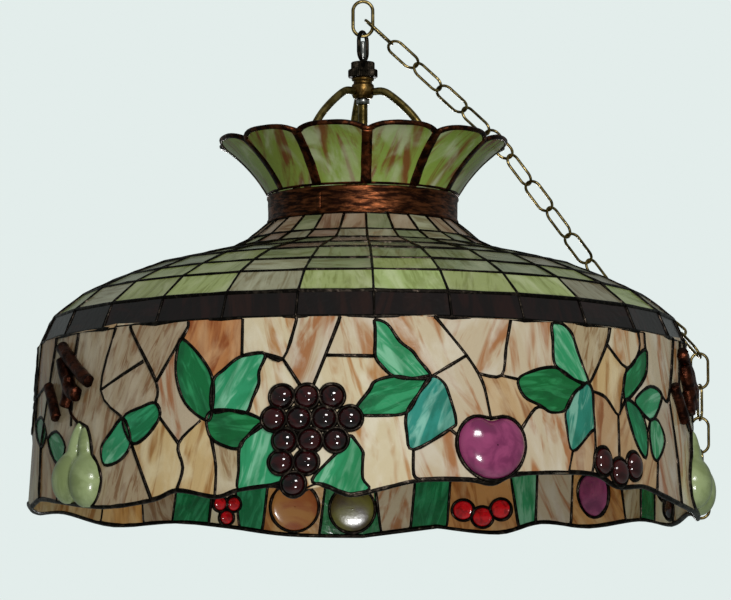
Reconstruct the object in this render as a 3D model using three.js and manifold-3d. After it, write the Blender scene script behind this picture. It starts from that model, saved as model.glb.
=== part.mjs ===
// A leaded-glass hanging lamp for a pool table: a flared crown, a copper collar, a sloping shoulder of tiles,
// a dark border and a straight skirt with fruit in relief, hung by a link, a loop and three brass arms.
// Millimetres, +Z up. Bearings are in degrees: 0 is the front (-Y), and they grow towards +X.
// Heights are measured from the skirt's top edge; the last lines move the origin up to the point it hangs from.
import * as THREE from "three";
import { mergeVertices } from "three/addons/utils/BufferGeometryUtils.js";
import Module from "manifold-3d";

const wasm = await Module();
wasm.setup();

// ---------------------------------------------------------------- driving sizes
const GAP = 0.3; // clearance between pieces that touch
const GLASS = 3; // sheet thickness

const SHADE_RADIUS = 330; // outside of the skirt's top edge: a 26 inch shade
const SKIRT_FLARE = 10; // how much wider the skirt is at SKIRT_DEPTH
const SKIRT_DEPTH = 163;
const SKIRT_PANELS = 6;
const RIM_BEAD = 2.4; // radius of the bead round the wavy lower edge

const COLLAR_RADIUS = 97;
const COLLAR_BOTTOM = 129;
const COLLAR_TOP = 157;
const COLLAR_SHEET = 1.6;
const COLLAR_FACETS = 36; // shared by the rings that nest in the collar
const SHOULDER_SECTORS = 4;
const TILES_ROUND = 28;

const CROWN_RADIUS = 148;
const CROWN_HEIGHT = 55; // from the collar's top edge to the tip of a petal
const CROWN_PANELS = 12;
const CROWN_TURN = 1.8; // bearing of the rib nearest the front
const PETAL_ROUNDING = 0.13; // how far a petal's corners lie below its tip, as a share of its slope
const RIB_WIDTH = 12;
const RIB_THICKNESS = 4.2;
const CROWN_BEAD = 2.6;

const PIPE_RADIUS = 5;
const PIPE_WALL = 1.2;
const HUB_RADIUS = 11.5;
const HUB_BOTTOM = 260;
const HUB_HEIGHT = 22;
const CHECK_RING_HEIGHT = 5.5;
const CHECK_RING_RADIUS = 6.8;
const NUT_FLANGE_RADIUS = 15.2;
const NUT_RADIUS = 12.2;
const NUT_TIER = 7.9;
const ARM_RADIUS = 4;
const ARM_BEARINGS = [-50, 70, 190];
const SPIDER_RING_WIDTH = 14;
const SPIDER_RING_HEIGHT = 5;

const LOOP_WIRE = 2.1;
const LOOP_HEIGHT = 34;
const LOOP_WIDTH = 24;
const LOOP_BEARING = 65; // the loop is seen almost edge-on from the front
const LOOP_TUBE_RADIUS = 3;
const LOOP_TUBE_LENGTH = 17;
const HOOK_WIRE = 1.8;
const HOOK_HEIGHT = 40;
const HOOK_WIDTH = 24;

const LINK_WIRE = 1.5;
const LINK_LENGTH = 39;
const LINK_WIDTH = 21;
const CHAIN_BEARING = 97; // where it hangs down past the skirt
const CHAIN_DRIFT = 14; // degrees further round that it crosses the crown's edge and the shoulder
const CHAIN_PLAY = 3; // room between the chain's first link and the link it hangs on
const CHAIN_RISE = 16; // of its first joint over the bend that the loop hangs in
const TAIL_LINKS = 4;
const LINK_TURN = -8; // the links of the slanting run lie cornerwise, each square to the next
const FIRST_LINK_TURN = 130; // but the first lies flatter, so that the hook link can swing in it
const TAIL_STANDOFF = 10; // from the skirt's lower edge to the middle of the hanging chain

const CLUSTER_HEIGHT = 74; // middle of the cluster body
const CLUSTER_RADIUS = 23;
const CLUSTER_THICKNESS = 22;
const CLUSTER_EDGE = 6; // height of its chamfers
const SOCKETS = 3;
const SOCKET_RADIUS = 17;
const SOCKET_NECK = 9;
const SOCKET_LENGTH = 48;
const SOCKET_DROOP = 25; // degrees below level
const BULB_RADIUS = 30;
const BULB_LENGTH = 104;
const KEY_SHAFT = 2;
const KEY_REACH = 12;

// How far out from the collar each tile row ends, and how high it is on the shoulder, both from 0 to 1.
const SHOULDER_ROWS = [
  [0.1, 0.85], [0.19, 0.765], [0.36, 0.69], [0.54, 0.61], [0.695, 0.495], [0.825, 0.38], [0.95, 0.2], [1, 0],
];

// The wavy lower edge, as bearing and how far it reaches below SKIRT_DEPTH.
const RIM_WAVE = [
  [-180, 9], [-166, 8], [-155, 1], [-143, -3], [-128, 4], [-112, -5], [-98, 0], [-85, -5],
  [-78, 1], [-70, -4], [-61, 1], [-47, 10], [-36, 6], [-31, -2], [-24, 5], [-20, -1],
  [-14, -4], [-11, 5], [-7, -5], [-2, 5], [3, -1], [9, -9], [17, -10], [21, -7],
  [26, -17], [40, -20], [46, -9], [53, -11], [60, -4], [67, 2], [78, 7], [87, 10],
  [98, 1], [108, 9], [120, 0], [134, 4], [145, -3], [154, 7], [166, -1], [180, 9],
];

// Grape rows from the top of a bunch down: how many, and how far the row's middle lies beside the bunch's.
const GRAPE_ROWS = [[3, 0], [4, 4.6], [3, 3.5], [2, -11.5], [1, -11.5]];
const GRAPE_RADIUS = 13.3; // with its lead rim
const GRAPE_STEP = 23.6; // between two in a row
const GRAPE_ROW_DROP = 20.5;
const FRONT_GRAPES = { bearing: -9, rise: 87 };
const BACK_GRAPES = { bearing: 110, rise: 89 };

// Fruit that grows together: its bearing, and for each fruit how far beside that, the rise of its middle
// over SKIRT_DEPTH, its half width, its half height and how far it stands out.
const FRONT_APPLE = { bearing: 21, fruit: [[0, 42, 33, 33, 15]] };
const BACK_APPLE = { bearing: 132, fruit: [[0, 30, 24, 26, 13]] };
const PEACH = { bearing: -167, fruit: [[0, 22, 28, 29, 13]] };
const FIG = { bearing: -178, fruit: [[0, 20, 26, 29, 12]] };
const DATES = { bearing: 46.6, fruit: [[-21.3, 34, 13, 14, 9], [0, 25, 14, 13, 9], [21.3, 33, 13, 14, 9]] };
const CHERRIES = { bearing: -153.6, fruit: [[8, 24, 9.5, 9.5, 8], [-8, 24, 9.5, 9.5, 8], [0, 9, 9.5, 9.5, 8]] };
const RASPBERRIES = { bearing: 157, fruit: [[21.9, 18, 14, 13, 10], [0, 10, 14, 13, 10], [-21.9, 18, 14, 13, 10]] };
const PEAR_BODY = { drop: 50, halfWidth: 19, halfHeight: 26, bulge: 19 };
const PEAR_NECK = { drop: 24, halfWidth: 10, halfHeight: 28, bulge: 12 };
const LEFT_PEARS = { bearing: -53.6, stalks: [[-17.3, 71], [17.3, 66]] };
const RIGHT_PEARS = { bearing: 79, stalks: [[-17.3, 73], [17.3, 68]] };

// ---------------------------------------------------------------- small tools
const TAU = 2 * Math.PI;
const radians = THREE.MathUtils.degToRad;
const degrees = THREE.MathUtils.radToDeg;
const lerp = THREE.MathUtils.lerp;

// A point from its bearing, its distance from the lamp's axis and its height.
function polar(bearing, radius, height) {
  const turn = radians(bearing);
  return new THREE.Vector3(radius * Math.sin(turn), -radius * Math.cos(turn), height);
}

// A closed body through a row of sections, each a ring of points that runs up on its outer side.
function loft(sections, closed = false) {
  const count = sections[0].length;
  const faces = [];
  const spans = closed ? sections.length : sections.length - 1;
  for (let i = 0; i < spans; i++) {
    const here = i * count;
    const next = ((i + 1) % sections.length) * count;
    for (let k = 0; k < count; k++) {
      const beside = (k + 1) % count;
      faces.push(here + k, next + k, next + beside);
      faces.push(here + k, next + beside, here + beside);
    }
  }
  if (!closed) {
    faces.push(...capFaces(sections[0], 0, false));
    faces.push(...capFaces(sections.at(-1), (sections.length - 1) * count, true));
  }
  const positions = sections.flat().flatMap((point) => [point.x, point.y, point.z]);
  const geometry = new THREE.BufferGeometry();
  geometry.setAttribute("position", new THREE.Float32BufferAttribute(positions, 3));
  geometry.setIndex(faces);
  return geometry;
}

// The triangles that close one end of a loft.
function capFaces(section, first, turned) {
  const flat = section.map((point) => new THREE.Vector2(Math.hypot(point.x, point.y), point.z));
  return THREE.ShapeUtils.triangulateShape(flat, []).flatMap(([a, b, c]) =>
    turned ? [first + a, first + c, first + b] : [first + a, first + b, first + c],
  );
}

// The inner face of a sheet whose outer face follows a line of [radius, height] from bottom to top.
function innerFace(line, thickness) {
  return line.map(([radius, height], i) => {
    const [r0, h0] = line[Math.max(i - 1, 0)];
    const [r1, h1] = line[Math.min(i + 1, line.length - 1)];
    const length = Math.hypot(r1 - r0, h1 - h0);
    return [radius - (thickness * (h1 - h0)) / length, height + (thickness * (r1 - r0)) / length];
  });
}

function sheetSection(line, thickness) {
  return [...line, ...innerFace(line, thickness).reverse()];
}

// A round bar's cross-section about a point.
function roundSection([radius, height], bar, sides = 5) {
  return Array.from({ length: sides }, (_, i) => {
    const turn = (i * TAU) / sides;
    return [radius + bar * Math.cos(turn), height + bar * Math.sin(turn)];
  });
}

// Sweeps a section, given for each bearing, round the lamp's axis: part of the way or all round.
function sweep(sectionAt, from, to, steps) {
  const closed = to - from >= 360;
  const bearings = Array.from({ length: closed ? steps : steps + 1 }, (_, i) => lerp(from, to, i / steps));
  const sections = bearings.map((bearing) =>
    sectionAt(bearing).map(([radius, height]) => polar(bearing, radius, height)),
  );
  return loft(sections, closed);
}

// A turned body from a closed line of [radius, height].
function turned(line, sides = 18) {
  return new THREE.LatheGeometry([...line, line[0]].map(([r, h]) => new THREE.Vector2(r, h)), sides).rotateX(
    Math.PI / 2,
  );
}

// A hollow turned body, such as a nut or a pipe.
function tube(inner, outer, bottom, top, sides = 18) {
  return turned([[inner, bottom], [outer, bottom], [outer, top], [inner, top]], sides);
}

// A round bar along a curve.
function bar(curve, radius, steps, sides = 8) {
  const shape = new THREE.Shape().absarc(0, 0, radius, 0, TAU, false);
  const options = { extrudePath: curve, steps, curveSegments: sides / 2, bevelEnabled: false };
  return new THREE.ExtrudeGeometry(shape, options);
}

// An oval link in its own XZ plane, centred on the origin and standing along Z.
function link(wire, height, width, steps = 20, sides = 8) {
  const bend = width / 2 - wire;
  const straight = height / 2 - wire - bend;
  const sections = Array.from({ length: steps }, (_, i) => {
    const turn = (i * TAU) / steps;
    const across = Math.cos(turn);
    const along = Math.sin(turn);
    const middle = new THREE.Vector3(bend * across, 0, bend * along + straight * Math.sign(along));
    return Array.from({ length: sides }, (_, k) => {
      const round = (-k * TAU) / sides;
      const out = wire * Math.cos(round);
      return new THREE.Vector3(out * across, wire * Math.sin(round), out * along).add(middle);
    });
  });
  return loft(sections, true);
}

// ---------------------------------------------------------------- cutting and joining
function toSolid(geometry) {
  const bare = geometry.index ? geometry.toNonIndexed() : geometry.clone();
  bare.deleteAttribute("normal");
  bare.deleteAttribute("uv");
  const merged = mergeVertices(bare, 1e-4);
  const vertProperties = new Float32Array(merged.attributes.position.array);
  const triVerts = new Uint32Array(merged.index.array);
  return new wasm.Manifold(new wasm.Mesh({ numProp: 3, vertProperties, triVerts }));
}

function toGeometry(solid) {
  const mesh = solid.getMesh();
  const geometry = new THREE.BufferGeometry();
  geometry.setAttribute("position", new THREE.Float32BufferAttribute(mesh.vertProperties, 3));
  geometry.setIndex(new THREE.BufferAttribute(mesh.triVerts, 1));
  return geometry;
}

function joined(geometries) {
  return geometries.map(toSolid).reduce((whole, piece) => whole.add(piece));
}

// ---------------------------------------------------------------- finishes
function finish(color, roughness, metalness = 0) {
  return new THREE.MeshStandardMaterial({ color, roughness, metalness, flatShading: true });
}

const FINISH = {
  brass: finish(0x9a8440, 0.35, 1),
  iron: finish(0x1c1a18, 0.6, 0.8),
  steel: finish(0xb9bcbc, 0.3, 1),
  copper: finish(0x7a3f20, 0.4, 1),
  solder: finish(0x2a2420, 0.5, 0.8),
  crownGlass: finish(0x9ab35a, 0.25),
  shoulderGlass: finish(0xb5c08e, 0.3),
  borderGlass: finish(0x2a1210, 0.2),
  skirtGlass: finish(0xcfb48a, 0.3),
  grape: finish(0x3a0a10, 0.15),
  apple: finish(0x8a3a63, 0.2),
  pear: finish(0xa9bd83, 0.25),
  peach: finish(0xc98a45, 0.25),
  fig: finish(0x6f6a2c, 0.25),
  date: finish(0x2c0c0c, 0.2),
  berry: finish(0xa01822, 0.2),
  porcelain: finish(0xe8e2d4, 0.4),
  bulb: finish(0xf6f1e4, 0.2),
};

const lamp = new THREE.Group();

function add(name, geometry, material) {
  const mesh = new THREE.Mesh(geometry, material);
  mesh.name = name;
  lamp.add(mesh);
  return mesh;
}

// ---------------------------------------------------------------- shade outline
function skirtRadius(height) {
  return SHADE_RADIUS - (SKIRT_FLARE * height) / SKIRT_DEPTH;
}

// The outer face from the skirt's foot up to the collar, and the inner face beside it.
const outerLine = [
  [skirtRadius(-SKIRT_DEPTH), -SKIRT_DEPTH],
  ...SHOULDER_ROWS.map(([out, up]) => [lerp(COLLAR_RADIUS, SHADE_RADIUS, out), COLLAR_BOTTOM * up]).reverse(),
  [COLLAR_RADIUS, COLLAR_BOTTOM],
];
const innerLine = innerFace(outerLine, GLASS);
const SKIRT_TOP = 1; // places in those lines
const BORDER_TOP = 2;
const borderTop = outerLine[BORDER_TOP];

// The part of the shade between two places, lifted off the piece below it.
function shadeSection(from, to) {
  const side = (line) => {
    const piece = line.slice(from, to + 1);
    const [[r0, h0], [r1, h1]] = piece;
    const share = GAP / Math.hypot(r1 - r0, h1 - h0);
    piece[0] = [lerp(r0, r1, share), lerp(h0, h1, share)];
    return piece;
  };
  return [...side(outerLine), ...side(innerLine).reverse()];
}

function rimHeight(bearing) {
  const place = THREE.MathUtils.euclideanModulo(bearing + 180, 360) - 180;
  const next = Math.max(RIM_WAVE.findIndex(([edge]) => edge > place), 1);
  const [from, low] = RIM_WAVE[next - 1];
  const [to, high] = RIM_WAVE[next];
  return -SKIRT_DEPTH - lerp(low, high, (place - from) / (to - from));
}

// The crown's outer face on its slope, from 0 at the collar to 1 at a petal's tip.
function crownPoint(share) {
  const foot = new THREE.Vector2(COLLAR_RADIUS, COLLAR_TOP + 2 * GAP);
  const tip = new THREE.Vector2(CROWN_RADIUS, COLLAR_TOP + CROWN_HEIGHT);
  const bend = new THREE.Vector2(lerp(foot.x, tip.x, 0.36), lerp(foot.y, tip.y, 0.6));
  const point = new THREE.QuadraticBezierCurve(foot, bend, tip).getPoint(share);
  return [point.x, point.y];
}

function petalTop(bearing) {
  const step = 360 / CROWN_PANELS;
  const fromRib = THREE.MathUtils.euclideanModulo(bearing - CROWN_TURN, step) / step;
  return 1 - PETAL_ROUNDING * (2 * fromRib - 1) ** 2;
}

// ---------------------------------------------------------------- crown
const CROWN_FOOT = 0.05; // share of the slope that the foot strip takes
const FOOT_STRIP = 4;
const BELOW_FOOT = -0.03; // on the same scale, below the strip

function crownLine(from, to, steps, out = 0) {
  return Array.from({ length: steps + 1 }, (_, i) => {
    const [radius, height] = crownPoint(lerp(from, to, i / steps));
    return [radius + out, height];
  });
}

function crownRib(index) {
  const middle = CROWN_TURN + index * (360 / CROWN_PANELS);
  const line = crownLine(CROWN_FOOT / 2, petalTop(middle), 4, (RIB_THICKNESS - GLASS) / 2);
  const sections = [-1, 1].map((side) =>
    sheetSection(line, RIB_THICKNESS).map(([radius, height]) =>
      polar(middle + side * degrees(RIB_WIDTH / 2 / radius), radius, height),
    ),
  );
  return loft(sections);
}

// The rings that hold the petals at top and foot, with some room round each of them.
function crownRings(room = 0) {
  const bead = (bearing) => {
    const top = petalTop(bearing);
    const [, middle] = innerFace(crownLine(top - 0.05, top, 1), GLASS / 2);
    return roundSection(middle, CROWN_BEAD + room);
  };
  const footTop = CROWN_FOOT + room / CROWN_HEIGHT;
  const foot = () => sheetSection(crownLine(room && BELOW_FOOT, footTop, 1, room), FOOT_STRIP + 2 * room);
  return joined([sweep(bead, 0, 360, 60), sweep(foot, 0, 360, COLLAR_FACETS)]);
}
const ringRoom = crownRings(GAP);

function crownFrame() {
  const ribs = Array.from({ length: CROWN_PANELS }, (_, i) => crownRib(i));
  return toGeometry(joined(ribs).add(crownRings()));
}

// One flared petal between two ribs: what the rings leave of the sheet.
function petal(index) {
  const middle = CROWN_TURN + (index + 0.5) * (360 / CROWN_PANELS);
  const across = 6;
  const sections = Array.from({ length: across + 1 }, (_, i) => {
    const side = (2 * i) / across - 1;
    const top = petalTop(middle + (side * 180) / CROWN_PANELS);
    return sheetSection(crownLine(0, top, 4), GLASS).map(([radius, height]) => {
      const half = 180 / CROWN_PANELS - degrees((RIB_WIDTH / 2 + GAP) / radius);
      return polar(middle + side * half, radius, height);
    });
  });
  return toGeometry(toSolid(loft(sections)).subtract(ringRoom));
}

for (let i = 0; i < CROWN_PANELS; i++) {
  add(`crown_petal_${String(i + 1).padStart(2, "0")}`, petal(i), FINISH.crownGlass);
}
add("crown_frame", crownFrame(), FINISH.copper);

// ---------------------------------------------------------------- collar and shoulder
function collarBand() {
  const lip = 1.2; // rolled edges top and bottom
  const line = [
    [COLLAR_RADIUS + lip, COLLAR_BOTTOM + GAP],
    [COLLAR_RADIUS + lip, COLLAR_BOTTOM + 3],
    [COLLAR_RADIUS, COLLAR_BOTTOM + 5],
    [COLLAR_RADIUS, COLLAR_TOP - 5],
    [COLLAR_RADIUS + lip, COLLAR_TOP - 3],
    [COLLAR_RADIUS + lip, COLLAR_TOP],
  ];
  return sweep(() => sheetSection(line, COLLAR_SHEET), 0, 360, COLLAR_FACETS);
}

// One run of the seven tile rows; each row is a flat slope, as cut tiles are.
function shoulderSector(index) {
  const step = 360 / SHOULDER_SECTORS;
  const edge = degrees(GAP / 2 / COLLAR_RADIUS);
  const section = () => shadeSection(BORDER_TOP, outerLine.length - 1);
  return sweep(section, index * step + edge, (index + 1) * step - edge, (2 * TILES_ROUND) / SHOULDER_SECTORS);
}

// The dark border row between the skirt and the lowest tile row.
function borderBand() {
  return sweep(() => shadeSection(SKIRT_TOP, BORDER_TOP), 0, 360, 2 * TILES_ROUND);
}

add("collar_band", collarBand(), FINISH.copper);
for (let i = 0; i < SHOULDER_SECTORS; i++) {
  add(`shoulder_glass_${i + 1}`, shoulderSector(i), FINISH.shoulderGlass);
}
add("border_band", borderBand(), FINISH.borderGlass);

// ---------------------------------------------------------------- skirt
function skirtPanel(index) {
  const step = 360 / SKIRT_PANELS;
  const edge = degrees(GAP / 2 / SHADE_RADIUS);
  const section = (bearing) => {
    const low = rimHeight(bearing) + RIM_BEAD + GAP;
    const foot = skirtRadius(low);
    return [[foot, low], outerLine[SKIRT_TOP], innerLine[SKIRT_TOP], [foot - GLASS, low]];
  };
  return sweep(section, (index - 0.5) * step + edge, (index + 0.5) * step - edge, 20);
}

function rimBead() {
  const section = (bearing) => {
    const height = rimHeight(bearing);
    return roundSection([skirtRadius(height) - GLASS / 2, height], RIM_BEAD);
  };
  return sweep(section, 0, 360, 120);
}

for (let i = 0; i < SKIRT_PANELS; i++) {
  add(`skirt_glass_${i + 1}`, skirtPanel(i), FINISH.skirtGlass);
}
add("rim_bead", rimBead(), FINISH.solder);

// ---------------------------------------------------------------- fruit in relief
const FRUIT_FLOOR = -SKIRT_DEPTH - 60; // below any fruit
const FRUIT_REACH = SHADE_RADIUS + 60; // outside any fruit

// The space that fruit keeps out of: inside the skirt's outer face, and from the rim bead down.
function fruitBounds() {
  const core = turned([[0, FRUIT_FLOOR], [skirtRadius(FRUIT_FLOOR) + GAP, FRUIT_FLOOR], [SHADE_RADIUS + GAP, 0], [0, 0]], 120);
  const below = sweep((bearing) => {
    const top = rimHeight(bearing) + RIM_BEAD + GAP;
    return [[COLLAR_RADIUS, FRUIT_FLOOR], [FRUIT_REACH, FRUIT_FLOOR], [FRUIT_REACH, top], [COLLAR_RADIUS, top]];
  }, 0, 360, 120);
  return joined([core, below]);
}
const outOfBounds = fruitBounds();

// The bearing of a place on the skirt that lies so far beside another.
function beside(bearing, distance) {
  return bearing + degrees(distance / SHADE_RADIUS);
}

// An egg shape that bulges out of the skirt.
function bulge(bearing, [side, rise, halfWidth, halfHeight, depth]) {
  const sides = halfWidth > 15 ? 12 : 8;
  const height = rise - SKIRT_DEPTH;
  const egg = new THREE.SphereGeometry(1, sides, sides / 2);
  egg.rotateX(Math.PI / 2);
  egg.scale(halfWidth, depth, halfHeight);
  egg.rotateZ(radians(beside(bearing, side)));
  const place = polar(beside(bearing, side), skirtRadius(height), height);
  return egg.translate(place.x, place.y, place.z);
}

function addFruit(name, { bearing, fruit }, material) {
  const eggs = fruit.map((egg) => bulge(bearing, egg));
  add(name, toGeometry(joined(eggs).subtract(outOfBounds)), material);
}

function grapeBunch({ bearing, rise }) {
  const fruit = GRAPE_ROWS.flatMap(([count, shift], row) =>
    Array.from({ length: count }, (_, i) => [
      shift + (i - (count - 1) / 2) * GRAPE_STEP,
      rise - row * GRAPE_ROW_DROP,
      GRAPE_RADIUS,
      GRAPE_RADIUS,
      9,
    ]),
  );
  return { bearing, fruit };
}

function pears({ bearing, stalks }) {
  const fruit = stalks.flatMap(([side, rise]) =>
    [PEAR_BODY, PEAR_NECK].map((part) => [side, rise - part.drop, part.halfWidth, part.halfHeight, part.bulge]),
  );
  return { bearing, fruit };
}

addFruit("grapes_front", grapeBunch(FRONT_GRAPES), FINISH.grape);
addFruit("grapes_back", grapeBunch(BACK_GRAPES), FINISH.grape);
addFruit("apple_front", FRONT_APPLE, FINISH.apple);
addFruit("apple_back", BACK_APPLE, FINISH.apple);
addFruit("pears_left", pears(LEFT_PEARS), FINISH.pear);
addFruit("pears_right", pears(RIGHT_PEARS), FINISH.pear);
addFruit("dates", DATES, FINISH.date);
addFruit("cherries", CHERRIES, FINISH.berry);
addFruit("raspberries", RASPBERRIES, FINISH.berry);
addFruit("peach", PEACH, FINISH.peach);
addFruit("fig", FIG, FINISH.fig);

// ---------------------------------------------------------------- hub, arms and stem
const hubTop = HUB_BOTTOM + HUB_HEIGHT;
const nutTop = hubTop + GAP + 2 * NUT_TIER;
const checkTop = HUB_BOTTOM - GAP;
const bore = PIPE_RADIUS + GAP;
const spiderTop = COLLAR_BOTTOM + 3 + SPIDER_RING_HEIGHT;
const spiderOuter = COLLAR_RADIUS - COLLAR_SHEET - GAP;
const spiderMiddle = spiderOuter - SPIDER_RING_WIDTH / 2;

function hub() {
  const neck = HUB_RADIUS - 2;
  return turned([
    [bore, HUB_BOTTOM],
    [HUB_RADIUS - 3, HUB_BOTTOM],
    [HUB_RADIUS - 1, HUB_BOTTOM + 2],
    [HUB_RADIUS, HUB_BOTTOM + 6],
    [HUB_RADIUS, hubTop - 8],
    [neck, hubTop - 6],
    [neck, hubTop - 4],
    [HUB_RADIUS, hubTop - 3],
    [HUB_RADIUS, hubTop],
    [bore, hubTop],
  ]);
}

// Two tiers with a knurled edge, which is a fine zigzag round the rim.
function knurledNut() {
  const teeth = 24;
  const low = hubTop + GAP;
  const tier = (radius, bottom, top) =>
    loft(
      Array.from({ length: 2 * teeth }, (_, i) => {
        const outer = i % 2 ? radius : radius - 0.6;
        return [[bore, bottom], [outer, bottom], [outer, top], [bore, top]].map(([r, h]) =>
          polar((i * 180) / teeth, r, h),
        );
      }),
      true,
    );
  const flange = tier(NUT_FLANGE_RADIUS, low, low + NUT_TIER);
  const cap = tier(NUT_RADIUS, low + NUT_TIER - 0.1, low + 2 * NUT_TIER);
  return toGeometry(joined([flange, cap]));
}

// A brass arm: level out of the hub, over and down to the ring inside the collar.
function arm(bearing) {
  const start = HUB_BOTTOM + HUB_HEIGHT / 2 - 4;
  const end = spiderTop + GAP;
  const curve = new THREE.CatmullRomCurve3(
    [
      polar(bearing, HUB_RADIUS + GAP, start),
      polar(bearing, HUB_RADIUS + 16, start - 3),
      polar(bearing, lerp(HUB_RADIUS, spiderMiddle, 0.6), lerp(start, end, 0.24)),
      polar(bearing, lerp(HUB_RADIUS, spiderMiddle, 0.88), lerp(start, end, 0.55)),
      polar(bearing, spiderMiddle, lerp(start, end, 0.85)),
      polar(bearing, spiderMiddle, end),
    ],
    false,
    "centripetal",
  );
  return bar(curve, ARM_RADIUS, 16, 10);
}

add("hub", hub(), FINISH.brass);
add("check_ring", tube(bore, CHECK_RING_RADIUS, checkTop - CHECK_RING_HEIGHT, checkTop), FINISH.steel);
add("knurled_nut", knurledNut(), FINISH.iron);
ARM_BEARINGS.forEach((bearing, i) => add(`arm_${i + 1}`, arm(bearing), FINISH.brass));
add(
  "spider_ring",
  tube(spiderOuter - SPIDER_RING_WIDTH, spiderOuter, spiderTop - SPIDER_RING_HEIGHT, spiderTop, COLLAR_FACETS),
  FINISH.brass,
);

const clusterTop = CLUSTER_HEIGHT + CLUSTER_THICKNESS / 2;
add("stem_pipe", tube(PIPE_RADIUS - PIPE_WALL, PIPE_RADIUS, clusterTop + GAP, nutTop, 16), FINISH.brass);

// ---------------------------------------------------------------- hanging loop and hook link
// How much higher a bend of this radius is at some distance from its lowest point.
function bendRise(bend, distance) {
  return bend - Math.sqrt(bend ** 2 - distance ** 2);
}

// The loop's lower bend dips into the pipe's open end.
const loopFoot = nutTop + GAP - bendRise(LOOP_WIDTH / 2, PIPE_RADIUS - PIPE_WALL);
const loopMiddle = loopFoot + LOOP_HEIGHT / 2;
const loopInnerTop = loopMiddle + LOOP_HEIGHT / 2 - 2 * LOOP_WIRE;
const swingHeight = loopInnerTop - GAP - HOOK_WIRE; // middle of the hook link's lowest wire
const hookMiddle = swingHeight - HOOK_WIRE + HOOK_HEIGHT / 2;
const hangHeight = swingHeight - 3 * HOOK_WIRE + HOOK_HEIGHT; // inside the hook link's top bend

const loop = add("hanging_loop", link(LOOP_WIRE, LOOP_HEIGHT, LOOP_WIDTH), FINISH.iron);
loop.position.z = loopMiddle;
loop.rotation.z = radians(LOOP_BEARING);

// The sleeve stands in the loop's lower bend, which is higher at the sleeve's edge than in the middle.
const sleeveRise = bendRise(LOOP_WIDTH / 2 - 2 * LOOP_WIRE, LOOP_TUBE_RADIUS + GAP);
const sleeveFoot = loopFoot + 2 * LOOP_WIRE + sleeveRise + GAP;
add("loop_sleeve", tube(1.4, LOOP_TUBE_RADIUS, sleeveFoot, sleeveFoot + LOOP_TUBE_LENGTH, 12), FINISH.steel);

const hook = add("hook_link", link(HOOK_WIRE, HOOK_HEIGHT, HOOK_WIDTH), FINISH.brass);
hook.position.z = hookMiddle;

// ---------------------------------------------------------------- chain
const LINK_BITE = 0.8; // how far neighbours in one run sink into each other, so that the run is one body
const LINK_PITCH = LINK_LENGTH - 4 * LINK_WIRE + LINK_BITE;

function linkTurn(number) {
  if (number === 0) return FIRST_LINK_TURN;
  return number % 2 ? LINK_TURN - 90 : LINK_TURN;
}

// The chain's link of a given number between two joints.
function chainLink(from, to, number) {
  const along = to.clone().sub(from).normalize();
  const height = from.distanceTo(to) + 4 * LINK_WIRE - LINK_BITE;
  const geometry = link(LINK_WIRE, height, LINK_WIDTH, 12, 5);
  geometry.rotateZ(radians(linkTurn(number)));
  geometry.applyQuaternion(new THREE.Quaternion().setFromUnitVectors(new THREE.Vector3(0, 0, 1), along));
  const middle = from.clone().add(to).multiplyScalar(0.5);
  return geometry.translate(middle.x, middle.y, middle.z);
}

// The chain's way down: off the hook link, over the crown's edge, on to the shoulder and round the border.
const crownEdge = crownPoint(1);
const tailRadius = skirtRadius(-SKIRT_DEPTH) + TAIL_STANDOFF;
const chainWay = [
  [0, HOOK_WIDTH / 2 - 2 * HOOK_WIRE - LINK_WIRE - CHAIN_PLAY, swingHeight + CHAIN_RISE],
  [CHAIN_DRIFT, crownEdge[0] + 2, crownEdge[1] + CROWN_BEAD + LINK_WIDTH / 2],
  [CHAIN_DRIFT, lerp(COLLAR_RADIUS, SHADE_RADIUS, 0.8), COLLAR_BOTTOM * 0.4 + LINK_WIDTH / 2 + 4],
  [CHAIN_DRIFT / 2, borderTop[0] + 12, borderTop[1] + LINK_WIDTH / 2],
  [0, tailRadius, 0],
].map(([drift, radius, height]) => polar(CHAIN_BEARING + drift, radius, height));

// Points one pitch apart along the chain's way, and one more straight below its end.
function chainJoints() {
  const way = new THREE.CurvePath();
  chainWay.slice(1).forEach((point, i) => way.add(new THREE.LineCurve3(chainWay[i], point)));
  const count = Math.round(way.getLength() / LINK_PITCH);
  const joints = Array.from({ length: count + 1 }, (_, i) => way.getPointAt(i / count));
  return [...joints, joints[count].clone().setZ(joints[count].z - LINK_PITCH)];
}

function chainSwag() {
  const joints = chainJoints();
  const links = joints.slice(1).map((point, i) => chainLink(joints[i], point, i));
  return { geometry: toGeometry(joined(links)), count: links.length, end: joints.at(-1) };
}

const swag = chainSwag();
add("chain_swag", swag.geometry, FINISH.brass);

function chainTail() {
  const top = swag.end.z + LINK_BITE + GAP;
  const joint = (i) => swag.end.clone().setZ(top - i * LINK_PITCH);
  const links = Array.from({ length: TAIL_LINKS }, (_, i) =>
    chainLink(joint(i), joint(i + 1), swag.count + i),
  );
  return toGeometry(joined(links));
}

add("chain_tail", chainTail(), FINISH.brass);

// ---------------------------------------------------------------- light cluster
// Each holder's foot is a disc square to its drooping axis, seated on the edge where the chamfer begins.
const clusterEdge = CLUSTER_THICKNESS / 2 - CLUSTER_EDGE;
const SOCKET_FOOT =
  CLUSTER_RADIUS + clusterEdge * Math.tan(radians(SOCKET_DROOP)) + GAP / Math.cos(radians(SOCKET_DROOP));

function clusterBody() {
  const bottom = CLUSTER_HEIGHT - CLUSTER_THICKNESS / 2;
  return turned([
    [0, bottom - 8],
    [4, bottom - 7],
    [8, bottom],
    [CLUSTER_RADIUS - 8, bottom],
    [CLUSTER_RADIUS, bottom + CLUSTER_EDGE],
    [CLUSTER_RADIUS, clusterTop - CLUSTER_EDGE],
    [CLUSTER_RADIUS - 8, clusterTop],
    [0, clusterTop],
  ]);
}

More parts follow.
